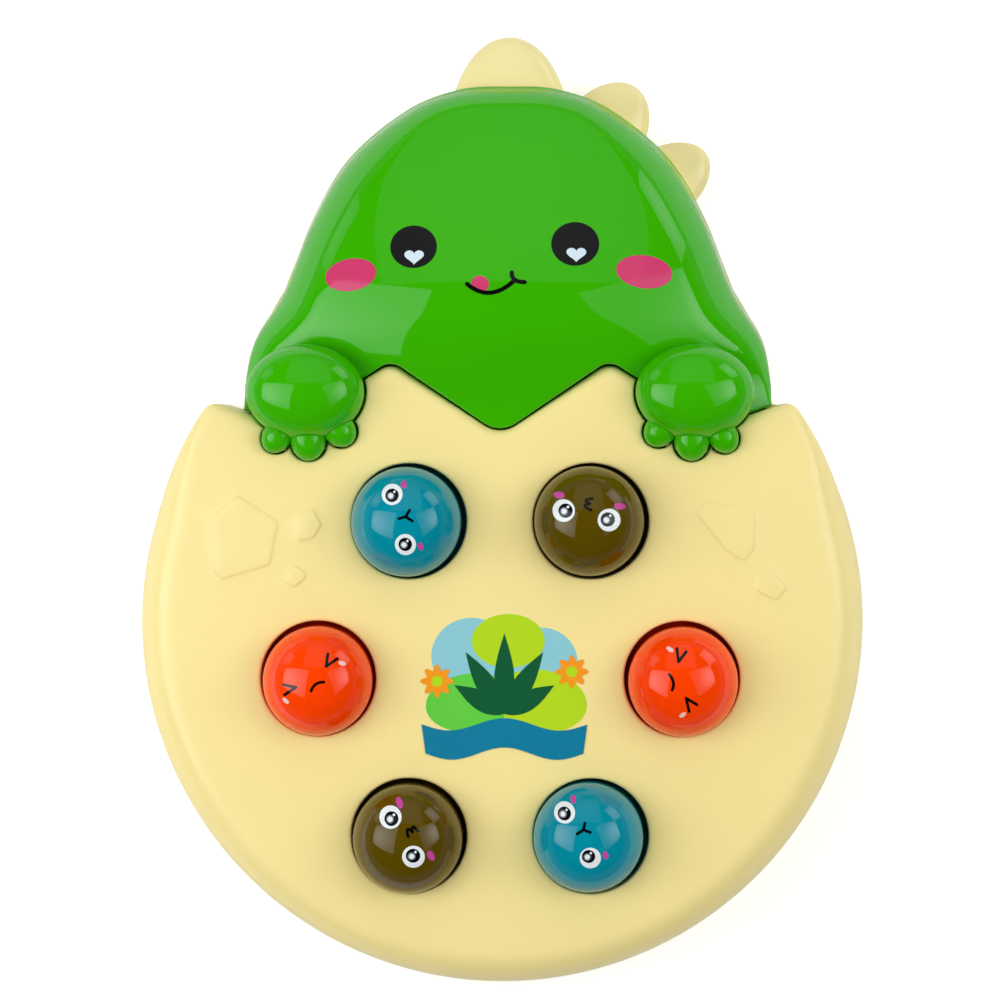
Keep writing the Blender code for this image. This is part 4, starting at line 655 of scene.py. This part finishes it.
def roll_rings(top_line, widths, steps):
    turns = [1 - math.cos(math.pi / 2 * step / steps) for step in range(1, steps + 1)] + [1.25]
    return [inset(top_line[:, :2], widths * turn) for turn in turns]


egg_lines = roll_rings(egg_top, egg_edge(egg_top[:, 2])[0], EGG_ROLL_STEPS)
for centre in hole_centres():
    egg_lines += [circle(centre, HOLE_RADIUS + out) for out in (*EDGE_LINES, 1.6)]
for side in (1, -1):
    egg_lines += [paw_ring(side, PAW_GAP + out) for out in EDGE_LINES]
    for place, radius in toes(side):
        egg_lines += [circle(place, radius + PAW_GAP + out, TOE_STEPS) for out in EDGE_LINES]
for line in patch_lines:
    egg_lines += [line] + [inset(line, np.full(len(line), step)) for step in PATCH_LINES]
grid = honeycomb((-96, EGG_Y - 96), (96, EGG_Y + 70), EGG_SPACING)
grid_far, _, grid_share = nearest(grid, egg_top)
keep = inside(grid, egg_top[:, :2]) & (grid_far > egg_edge(grid_share)[0] * 1.35)
keep &= (opening_distance(grid) > 1.8) & (np.abs(patch_depth(grid)) > 0.8)
egg_shell = shell(
    egg_top,
    egg_line,
    [*hole_rings, *paw_openings, *toe_openings],
    [EGG_HEIGHT - COLLAR_LENGTH] * 6 + [PAW_LOW] * 8,
    egg_lines,
    grid[keep],
    egg_surface,
    SHELL_LOW,
)
settle(egg_shell, "egg_shell", "case", "cream_abs", ["egg_cover"])

# Head shell: one glossy green pillow that meets the cream along the zigzag.
head_line = head_outline()
head_top = np.column_stack([inset(head_line[:, :2], DRAFT * head_line[:, 2]), head_line[:, 2]])


def head_surface(places):
    far, foot, share = nearest(places, head_top)
    return head_height(places) - rolled(far, *head_edge_size(foot, share))


head_widths = head_edge_size(head_top[:, :2], head_top[:, 2])[0]
head_lines = roll_rings(head_top, head_widths, HEAD_ROLL_STEPS)
grid = honeycomb((-72, EGG_Y + 45), (75, EGG_Y + 143), HEAD_SPACING)
grid_far, grid_foot, grid_share = nearest(grid, head_top)
keep = inside(grid, head_top[:, :2]) & (grid_far > head_edge_size(grid_foot, grid_share)[0] * 1.3)
head_shell = shell(head_top, head_line, [], [], head_lines, grid[keep], head_surface, SHELL_LOW)
settle(head_shell, "head_shell", "case", "glossy_green_abs", ["head_cover"])


def ball(centre, half_sizes, segments=72, rings=48):
    """A ball added at its size and place, in millimetres."""
    deselect()
    bpy.ops.mesh.primitive_uv_sphere_add(
        segments=segments, ring_count=rings, radius=0.001, location=Vector(centre) * 0.001
    )
    thing = bpy.context.object
    thing.scale = half_sizes
    bpy.ops.object.transform_apply(location=True, rotation=True, scale=True)
    return thing


def cut(place, direction):
    """Opens the active piece for editing, keeps what lies on the direction's side of a plane and caps it."""
    bpy.ops.object.mode_set(mode="EDIT")
    bpy.ops.mesh.select_all(action="SELECT")
    bpy.ops.mesh.bisect(plane_co=place, plane_no=direction, clear_inner=True, use_fill=True)


def close_edit():
    bpy.ops.mesh.select_all(action="SELECT")
    bpy.ops.mesh.normals_make_consistent(inside=False)
    bpy.ops.object.mode_set(mode="OBJECT")


def lay_down(thing, place, heading):
    """Turns a piece made along +X to a heading in the plane, and moves it to a place in millimetres."""
    turn = Matrix.Rotation(math.atan2(heading[1], heading[0]), 4, "Z")
    thing.matrix_world = Matrix.Translation(Vector(place) * 0.001) @ turn


def pad(centre, half_sizes, low, segments, rings):
    """A rounded pad: the upper half of a ball, with straight sides drawn down from its widest line."""
    thing = ball(centre, half_sizes, segments, rings)
    cut(Vector(centre) * 0.001, (0, 0, 1))
    bpy.ops.mesh.extrude_region_move(TRANSFORM_OT_translate={"value": (0, 0, (low - centre[2]) * 0.001)})
    close_edit()
    return thing


for side, label in ((1, "right"), (-1, "left")):
    paw = pad((*paw_centre(side), PAW_EQUATOR), (*PAW_HALF, PAW_RISE), PAW_LOW, 96, 64)
    settle(paw, f"paw_{label}", "case", "glossy_green_abs", ["head_cover"])
    for index, (place, radius) in enumerate(toes(side)):
        inward = (paw_centre(side) - place) / np.hypot(*(paw_centre(side) - place))
        half_sizes = (radius * (1 + TOE_STRETCH) + TOE_GROW, radius + TOE_GROW, radius)
        toe = pad((0, 0, TOE_EQUATOR), half_sizes, PAW_LOW, 56, 36)
        lay_down(toe, (*(place + inward * radius * TOE_STRETCH), 0), inward)
        settle(toe, f"toe_{label}_{index + 1}", "case", "glossy_green_abs", ["head_cover"])


def turn_profile(profile, centre, segments=96):
    """Draws a profile of radius and height by extruding one corner, then spins it round the centre."""
    deselect()
    bpy.ops.mesh.primitive_plane_add(size=0.001)
    thing = bpy.context.object
    bpy.ops.object.mode_set(mode="EDIT")
    bpy.ops.mesh.select_all(action="SELECT")
    bpy.ops.mesh.merge(type="CENTER")
    radius, height = profile[0]
    start = Vector((centre[0] + radius, centre[1], height)) * 0.001
    bpy.ops.transform.translate(value=start)
    for (r0, z0), (r1, z1) in zip(profile, profile[1:]):
        step = ((r1 - r0) * 0.001, 0, (z1 - z0) * 0.001)
        bpy.ops.mesh.extrude_region_move(TRANSFORM_OT_translate={"value": step})
    bpy.ops.mesh.select_all(action="SELECT")
    middle = (centre[0] * 0.001, centre[1] * 0.001, 0)
    bpy.ops.mesh.spin(steps=segments, angle=2 * math.pi, center=middle, axis=(0, 0, 1))
    bpy.ops.mesh.select_all(action="SELECT")
    bpy.ops.mesh.remove_doubles(threshold=0.000005)
    close_edit()
    return thing


def copy_piece(thing, shift):
    """A copy with its own mesh, moved by millimetres."""
    twin = thing.copy()
    twin.data = thing.data.copy()
    bpy.context.collection.objects.link(twin)
    twin.location = Vector(shift) * 0.001
    return twin


# Moles: hollow domes with a straight skirt, a lip that keeps them in and a short stem. The spring's seat
# and the rest of the stem, which nothing shows, are in the part alone.
hole_tops = [float(egg_height(centre[None])[0]) for centre in hole_centres()]
first_centre, first_top = hole_centres()[0], hole_tops[0]
equator = first_top + MOLE_PROUD
lip = first_top - COLLAR_LENGTH - LIP_GAP
slopes = np.linspace(0, math.pi / 2, 33)
mole_profile = [
    *((MOLE_RADIUS * math.sin(slope), equator + MOLE_RISE * math.cos(slope)) for slope in slopes),
    (MOLE_RADIUS, lip),
    (MOLE_RADIUS + LIP_REACH, lip),
    (MOLE_RADIUS + LIP_REACH, lip - LIP_THICKNESS),
    (MOLE_RADIUS - MOLE_WALL, lip - LIP_THICKNESS),
    (MOLE_RADIUS - MOLE_WALL, equator),
    (STEM_RADIUS, equator + MOLE_RISE - MOLE_ROOF),
    (STEM_RADIUS, equator - STEM_DEPTH),
    (0, equator - STEM_DEPTH),
]
first_mole = turn_profile(mole_profile, first_centre)
for name, centre, top, loose in zip(MOLES, hole_centres(), hole_tops, DOME_SHIFTS):
    mole = copy_piece(first_mole, (*(centre + loose - first_centre), top - first_top))
    colour = name.split("_")[0]
    settle(mole, f"dome_{name}", f"mole_{name}", f"{colour}_abs", [f"mole_{name}"])
bpy.data.objects.remove(first_mole)

# Crest spikes: egg-shaped cream horns that lean out square to the head's edge.
edge = head_side(1, 2)[::-1]
lengths = np.hypot(*(edge[1:] - edge[:-1]).T)
for kind, (place_share, rise, half_width) in SPIKES.items():
    left = place_share * lengths.sum()
    index = 0
    while left > lengths[index]:
        left -= lengths[index]
        index += 1
    along = (edge[index + 1] - edge[index]) / lengths[index]
    root = edge[index] + along * left
    outward = np.array([-along[1], along[0]]) if place_share > 0 else np.array([0.0, 1.0])
    half_length = rise * SPIKE_DEPTH
    root_share = 1 - rise / half_length
    wide = half_width / math.sqrt(1 - root_share**2)
    centre = root - outward * (half_length - rise)
    horn = ball((0, 0, 0), (half_length, wide, wide * SPIKE_FLATNESS), 96, 64)
    cut((0.001, 0, 0), (1, 0, 0))
    close_edit()
    lay_down(horn, (*centre, SPIKE_Z), outward)
    settle(horn, f"horn_{kind}", "case", "glossy_cream_abs", [f"crest_spike_{kind}"])


FILM = 0.12


def press(outline, surface, lift, name, finish, body, slot, spacing=0.9):
    """A printed shape: its outline filled finely, laid on a surface and given the thickness of a film."""
    outline = even(np.asarray(outline, float), spacing * 0.7)
    ahead = np.roll(outline, -1, axis=0)
    if (outline[:, 0] * ahead[:, 1] - ahead[:, 0] * outline[:, 1]).sum() < 0:
        outline = outline[::-1]
    grid = honeycomb(outline.min(0), outline.max(0), spacing)
    grid = grid[inside(grid, outline)]
    if len(grid):
        grid = grid[nearest(grid, outline)[0] > spacing * 0.35]
    flat, triangles = fill(outline, loose=grid)
    film = mesh_piece(surface(flat, lift), triangles)
    thicken(film, FILM)
    return settle(film, name, body, slot, finish=finish, angle=50)


def on_egg(flat, lift):
    return np.column_stack([flat, egg_height(flat) + lift])


def on_head(flat, lift):
    return np.column_stack([flat, head_surface(flat) + lift])


def on_dome(centre, top):
    """A surface function for a dome: places given from its centre, laid on and lifted square to it."""
    sizes = np.array([MOLE_RADIUS, MOLE_RADIUS, MOLE_RISE])

    def lay(flat, lift):
        square = np.clip(1 - (flat**2).sum(1) / MOLE_RADIUS**2, 0.0, 1)
        ball_places = np.column_stack([flat, MOLE_RISE * np.sqrt(square)])
        normal = ball_places / sizes**2
        normal /= np.linalg.norm(normal, axis=1)[:, None]
        return ball_places + normal * lift + (*centre, top + MOLE_PROUD)

    return lay


def oval(centre, half_sizes, turn=0.0, steps=48):
    angles = np.linspace(0, 2 * math.pi, steps, endpoint=False)
    x, y = half_sizes[0] * np.cos(angles), half_sizes[1] * np.sin(angles)
    c, s = math.cos(math.radians(turn)), math.sin(math.radians(turn))
    return np.column_stack([centre[0] + x * c - y * s, centre[1] + x * s + y * c])


def stroke(points, width):
    """Outline of a line drawn with a round pen."""
    points = np.asarray(points, float)
    run = np.gradient(points, axis=0)
    run /= np.linalg.norm(run, axis=1)[:, None]
    across = np.column_stack([-run[:, 1], run[:, 0]]) * width / 2
    heading = math.atan2(run[-1, 1], run[-1, 0])
    tail = math.atan2(run[0, 1], run[0, 0])
    end_cap = arc(points[-1], width / 2, heading - math.pi / 2, heading + math.pi / 2, 8)
    start_cap = arc(points[0], width / 2, tail + math.pi / 2, tail + 3 * math.pi / 2, 8)
    return np.vstack([(points - across)[1:-1], end_cap, (points + across)[1:-1][::-1], start_cap])


def bent(a, b, c, steps=14):
    """A curve from a to c that passes b at its middle."""
    a, b, c = (np.array(point, float) for point in (a, b, c))
    pull = 2 * b - (a + c) / 2
    t = np.linspace(0, 1, steps)[:, None]
    return a * (1 - t) ** 2 + 2 * pull * t * (1 - t) + c * t**2


def heart(centre, width, height, steps=60):
    t = np.linspace(0, 2 * math.pi, steps, endpoint=False)
    x = 16 * np.sin(t) ** 3
    y = 13 * np.cos(t) - 5 * np.cos(2 * t) - 2 * np.cos(3 * t) - np.cos(4 * t)
    return np.column_stack([centre[0] + x / 32 * width, centre[1] + (y + 2.5) / 29 * height])


def head_print(outline, lift, name, finish):
    return press(outline, on_head, lift, name, finish, "case", "glossy_green_abs", 1.2)


# The head's printed face.
head_print(oval((-22.28, 68.25), (6.1, 5.55), 0), 0.03, "eye_left", black_ink)
head_print(oval((19.61, 68.91), (6.2, 5.7), 0), 0.03, "eye_right", black_ink)
head_print(heart((-22.10, 65.38), 5.1, 3.8), 0.06, "glint_left", pale_blue_ink)
head_print(heart((19.90, 65.96), 5.1, 3.8), 0.06, "glint_right", pale_blue_ink)
head_print(oval((-38.73, 61.07), (6.8, 4.2), 9), 0.03, "cheek_left", pink_ink)
head_print(oval((37.46, 61.75), (7.3, 4.3), -7), 0.03, "cheek_right", pink_ink)
head_print(oval((-4.9, 58.5), (2.3, 2.1), -25), 0.03, "tongue", pink_ink)
head_print(stroke(bent((-8.29, 58.48), (-2.3, 56.2), (3.9, 59.35), 20), 1.1), 0.06, "mouth", black_ink)
head_print(stroke(bent((3.25, 61.45), (4.05, 59.55), (6.6, 58.95), 12), 1.1), 0.075, "mouth_tick", black_ink)


def dome_print(mole, outline, lift, name, finish):
    at = MOLES.index(mole)
    outline = np.asarray(outline) - DOME_SHIFTS[at]
    lay = on_dome(hole_centres()[at] + DOME_SHIFTS[at], hole_tops[at])
    slot = mole.split("_")[0] + "_abs"
    return press(outline, lay, lift, f"{name}_{mole}", finish, f"mole_{mole}", slot, 0.7)


def round_eye(mole, label, white_at, pupil_at, size):
    """An open eye: white ball, dark pupil, grey iris light and two glints."""
    big = np.array(pupil_at) + np.array((-0.12, -0.05)) * size
    little = np.array(pupil_at) + np.array((0.22, 0.33)) * size
    for spot, share, lift, name, finish in (
        (white_at, 1.0, 0.03, "eye_white", white_ink),
        (pupil_at, 0.63, 0.05, "pupil", black_ink),
        (big, 0.36, 0.065, "iris", grey_ink),
        (big, 0.24, 0.08, "glint_big", white_ink),
        (little, 0.11, 0.07, "glint_small", white_ink),
    ):
        dome_print(mole, oval(spot, (size * share, size * share)), lift, f"{name}_{label}", finish)


# Width of the pen that drew the domes' lines.
PEN = 0.74
# The two halves of the olive domes' mouth, one above the other.
LOBES = (((0.85, 1.45), (-0.75, 0.78), (0.35, 0.08)), ((0.35, 0.08), (-0.85, -0.72), (0.85, -1.45)))

for mole, eyes, cheeks, mouth, cheek_turn in (
    (
        "blue_upper",
        (((-3.68, 7.10), (-3.68, 6.85)), ((-0.20, -5.77), (-0.25, -5.7))),
        ((-0.75, 9.61), (3.69, -6.30)),
        ((-0.07, 1.39), (0.89, 3.10), (-1.82, 0.90), (1.62, 0.28)),
        -75,
    ),
    (
        "blue_lower",
        (((-6.65, 7.12), (-6.70, 6.87)), ((0.0, -4.34), (-0.44, -3.92))),
        ((-4.43, 10.42), (3.92, -3.67)),
        ((-1.75, 2.92), (-1.37, 4.64), (-3.39, 1.85), (0.0, 2.30)),
        -75,
    ),
):
    for label, (white_at, pupil_at) in zip(("a", "b"), eyes):
        round_eye(mole, label, white_at, pupil_at, 2.72)
    for label, spot in zip(("a", "b"), cheeks):
        dome_print(mole, oval(spot, (1.05, 0.7), cheek_turn), 0.03, f"cheek_{label}", magenta_ink)
    fork = np.array(mouth[0])
    for label, tip, lift in zip(("stem", "left", "right"), mouth[1:], (0.03, 0.04, 0.05)):
        line = np.array([fork + (np.array(tip) - fork) * t for t in np.linspace(-0.05, 1, 8)])
        dome_print(mole, stroke(line, PEN), lift, f"mouth_{label}", black_ink)

for mole, eyes, cheeks, mouth_at, mouth_turn, cheek_turn in (
    (
        "olive_upper",
        (((-6.86, 2.97), (-6.37, 2.94)), ((4.77, 0.56), (4.44, 0.71))),
        ((-8.06, 6.94), (7.51, 4.09)),
        (-0.51, 4.71),
        -6,
        -8,
    ),
    (
        "olive_lower",
        (((-4.15, 5.91), (-3.88, 5.55)), ((1.83, -4.14), (1.73, -3.85))),
        ((-1.94, 9.49), (6.30, -3.96)),
        (1.38, 2.51),
        -62,
        -65,
    ),
):
    for label, (white_at, pupil_at) in zip(("a", "b"), eyes):
        round_eye(mole, label, white_at, pupil_at, 2.9)
    for label, spot in zip(("a", "b"), cheeks):
        dome_print(mole, oval(spot, (1.45, 0.85), cheek_turn), 0.03, f"cheek_{label}", magenta_ink)
    turn = Matrix.Rotation(math.radians(mouth_turn), 2)
    for label, lobe, lift in zip(("top", "low"), LOBES, (0.03, 0.04)):
        points = [np.array(mouth_at) + np.array(turn @ Vector(point)) for point in lobe]
        dome_print(mole, stroke(bent(*points, 12), PEN), lift, f"mouth_{label}", black_ink)

for mole, first_eye, second_eye, mouth, tears in (
    (
        "orange_left",
        ((-8.03, -0.93), (-4.78, -1.54), (-7.80, -3.60)),
        ((3.38, 6.98), (3.03, 3.83), (5.82, 5.76)),
        ((-0.79, -2.42), (0.48, -0.66), (2.48, -0.15)),
        (((-7.52, -5.12), -40), ((7.04, 4.55), -20)),
    ),
    (
        "orange_right",
        ((-1.44, 8.45), (-1.05, 5.17), (0.94, 7.68)),
        ((1.69, -7.66), (0.90, -4.13), (3.66, -5.83)),
        ((-3.43, 1.95), (-2.36, -0.11), (-2.69, -2.07)),
        (((-3.19, 8.23), -30), ((0.08, -8.54), 35)),
    ),
):
    for label, (tip_a, corner, tip_b) in zip(("a", "b"), (first_eye, second_eye)):
        for part, tip, lift in (("long", tip_a, 0.03), ("short", tip_b, 0.04)):
            line = np.linspace(corner, tip, 8)
            dome_print(mole, stroke(line, PEN), lift, f"lash_{label}_{part}", black_ink)
    dome_print(mole, stroke(bent(*mouth, 12), PEN), 0.03, "mouth", black_ink)
    for label, (spot, turn) in zip(("a", "b"), tears):
        dome_print(mole, oval(spot, (1.0, 0.55), turn), 0.03, f"tear_{label}", tear_ink)

# Badge: a plain printed picture of sky, hills, a fern, two flowers and a wavy band, with no lettering.
SKY, LIME, LEAF, FERN, FLOWER, BAND = (
    ink(f"{name}_badge_ink", colour, 0.3)
    for name, colour in (
        ("sky_blue", "8CCBD6"),
        ("lime", "B4DB1E"),
        ("leaf_green", "62CE42"),
        ("fern_green", "0B5A33"),
        ("orange", "F79A1C"),
        ("teal", "0A7C9E"),
    )
)
BADGE_PLACE = (1.2, -45.5)
FLOWER_SIZE = 3.6


def badge(outline, finish, layer, name):
    """One shape of the badge, its places given from the badge's middle."""
    outline = np.asarray(outline, float) + BADGE_PLACE
    return press(outline, on_egg, 0.03 + 0.02 * layer, f"badge_{name}", finish, "case", "cream_abs", 2.2)


def leaf(root, angle, length, width):
    t = np.linspace(0, 1, 16)
    half = np.sin(math.pi * t**0.8) * width / 2
    x = np.concatenate([t, t[::-1][1:-1]]) * length
    y = np.concatenate([-half, half[::-1][1:-1]])
    c, s = math.cos(math.radians(angle)), math.sin(math.radians(angle))
    return np.column_stack([root[0] + x * c - y * s, root[1] + x * s + y * c])


badge(oval((-8.5, 7.5), (10.5, 10.0)), SKY, 0, "sky_left")
badge(oval((9.5, 6.0), (9.5, 9.0)), SKY, 1, "sky_right")
badge(oval((1.0, 11.5), (9.5, 7.0)), LIME, 2, "hill_far")
badge(oval((-9.0, -4.5), (11.5, 7.5), 8), LEAF, 3, "hill_left")
badge(oval((9.5, -4.0), (12.0, 8.0), -10), LIME, 4, "hill_right")
for index, (angle, length) in enumerate(((150, 15), (122, 19), (90, 21), (58, 19), (30, 15))):
    badge(leaf((0, -7.5), angle, length, 5.2), FERN, 5 + 0.5 * index, f"fern_{index + 1}")
for index, (x, y) in enumerate(((-17.5, 1.0), (17.5, 3.5))):
    rays = np.linspace(0, 2 * math.pi, 48, endpoint=False)
    reach = FLOWER_SIZE * (1 + 0.22 * np.cos(8 * rays))
    petals = np.column_stack([x + reach * np.cos(rays), y + reach * np.sin(rays)])
    badge(petals, FLOWER, 8, f"flower_{index + 1}")
    badge(oval((x, y), (FLOWER_SIZE * 0.4, FLOWER_SIZE * 0.4)), LIME, 9, f"flower_eye_{index + 1}")
sweep = np.linspace(-1, 1, 40)
upper = np.column_stack([sweep * 21.5, -10.2 + 1.6 * np.cos(sweep * math.pi * 1.5)])
lower = np.column_stack([sweep[::-1] * 20.5, -17.8 + 1.6 * np.cos(sweep[::-1] * math.pi * 1.5)])
badge(np.vstack([upper, lower])[::-1], BAND, 10, "band")

# Camera: high over the toy, slightly to the right of and above its middle.
camera = bpy.data.objects.new("camera", bpy.data.cameras.new("camera"))
bpy.context.scene.collection.objects.link(camera)
camera.location = (0.034, 0.020, 1.200)
forward = (Vector((-0.000343, 0.002395, 0.028)) - camera.location).normalized()
right = forward.cross(Vector((0, 1, 0))).normalized()
camera.rotation_euler = Matrix((right, right.cross(forward), -forward)).transposed().to_euler()
camera.data.lens = 160.69
camera.data.sensor_width = 36.0
camera.data.clip_start = 0.01
bpy.context.scene.camera = camera


def softbox(name, inner, outer, width, radiance, fade=0.5, middle=0.5, mirrored_too=True):
    """A soft light from the middle of its inner edge to that of its outer edge, in metres.

    It is brightest at a middle, a share of its length, and dims outwards by the share fade.
    """
    along = Vector(outer) - Vector(inner)
    data = bpy.data.lights.new(name, "AREA")
    data.shape = "RECTANGLE"
    data.size, data.size_y = width, along.length
    data.energy = math.pi * width * along.length
    data.use_nodes = True
    tree = data.node_tree
    tree.nodes.clear()
    spot = add(tree, "ShaderNodeNewGeometry").outputs["Parametric"]
    offset = add(tree, "ShaderNodeVectorMath", [(0, spot)], operation="DISTANCE", in_1=(0.5, middle, 0.0))
    ends = {"in_From_Min": 0.1, "in_From_Max": 0.7, "interpolation_type": "SMOOTHSTEP"}
    level = mapped(tree, offset.outputs["Value"], radiance, radiance * (1 - fade), **ends)
    emission = add(tree, "ShaderNodeEmission", [("Strength", level)])
    add(tree, "ShaderNodeOutputLight", [("Surface", emission.outputs[0])])
    lamp = bpy.data.objects.new(name, data)
    bpy.context.scene.collection.objects.link(lamp)
    lamp.location = (Vector(inner) + Vector(outer)) / 2
    up = along.normalized()
    across = up.cross(Vector((0, 0, 1))).normalized()
    lamp.rotation_euler = Matrix((across, up, across.cross(up))).transposed().to_euler()
    lamp.visible_camera = False
    lamp.visible_glossy = mirrored_too


# The boxes and windows are what the gloss mirrors; the fills only add to the light that is scattered.
softbox("left_box", (-0.245, -0.105, 0.590), (-1.034, 0.060, 0.419), 0.56, 3.0, 0.6, 0.6)
softbox("right_box", (0.272, -0.095, 0.600), (0.950, 0.205, 0.497), 0.55, 2.8, 0.8, 0.7)
softbox("back_box", (0.0, 0.165, 0.450), (0.0, 0.773, 0.186), 0.50, 0.4, 0.3)
softbox("left_fill", (-0.245, -0.105, 0.600), (-1.034, 0.060, 0.429), 0.56, 1.75, 0.3, mirrored_too=False)
softbox("right_fill", (0.272, -0.095, 0.610), (0.950, 0.205, 0.507), 0.55, 1.7, 0.3, mirrored_too=False)
softbox("back_fill", (0.0, 0.165, 0.460), (0.0, 0.773, 0.196), 0.50, 0.8, 0.3, mirrored_too=False)
softbox("front_fill", (0.0, -0.280, 0.420), (0.0, -0.420, 0.150), 0.80, 0.62, 0.3, mirrored_too=False)
softbox("corner_window", (1.10, 1.05, 0.80), (1.40, 1.30, 0.15), 0.80, 1.8)
softbox("far_window", (-1.20, 0.85, 0.70), (-1.50, 1.05, 0.15), 0.60, 0.9)

world = bpy.data.worlds.new("studio")
world.use_nodes = True
bpy.context.scene.world = world
tree = world.node_tree
tree.nodes.clear()
# Dim room: a little light from low down, where the pale walls stand, and nearly none from overhead.
WHITE = (1, 1, 1, 1)
direction = add(tree, "ShaderNodeTexCoord").outputs["Generated"]
height = add(tree, "ShaderNodeSeparateXYZ", [("Vector", direction)]).outputs["Z"]
ends = {"in_From_Min": 0.05, "in_From_Max": 0.35, "interpolation_type": "SMOOTHSTEP"}
wall_light = mapped(tree, height, 0.25, 0.02, **ends)
dim = add(tree, "ShaderNodeBackground", [("Strength", wall_light)], in_Color=WHITE)
white = add(tree, "ShaderNodeBackground", in_Color=WHITE, in_Strength=1.0)


def by_camera_ray(tree, others, seen):
    """One shader for what the camera sees directly, and another for all other light."""
    camera_ray = add(tree, "ShaderNodeLightPath").outputs["Is Camera Ray"]
    return add(tree, "ShaderNodeMixShader", [(0, camera_ray), (1, others.outputs[0]), (2, seen.outputs[0])])


add(tree, "ShaderNodeOutputWorld", [("Surface", by_camera_ray(tree, dim, white).outputs[0])])

# Floor: a pale sweep that reads white, with the toy's own soft shadow kept.
deselect()
bpy.ops.mesh.primitive_plane_add(size=8.0)
floor = bpy.context.object
floor.name = "floor"
paper, tree, place = new_material("white_paper_sweep")
# Fibres of the paper, about 1 mm across: a fleck that is at most 1.5 % darker.
fleck = mapped(tree, noise(tree, place, 1.11, 3.0), 0.985, 1.0)
matt = add(tree, "ShaderNodeBsdfDiffuse", [("Color", tinted(tree, fleck, (0.86, 0.86, 0.86, 1)))])
glow = add(tree, "ShaderNodeEmission", in_Color=WHITE, in_Strength=0.45)
both = add(tree, "ShaderNodeAddShader", [(0, matt.outputs[0]), (1, glow.outputs[0])])
close_material(tree, by_camera_ray(tree, matt, both))
floor.data.materials.append(paper)

view = bpy.context.scene.view_settings
view.view_transform = "Standard"
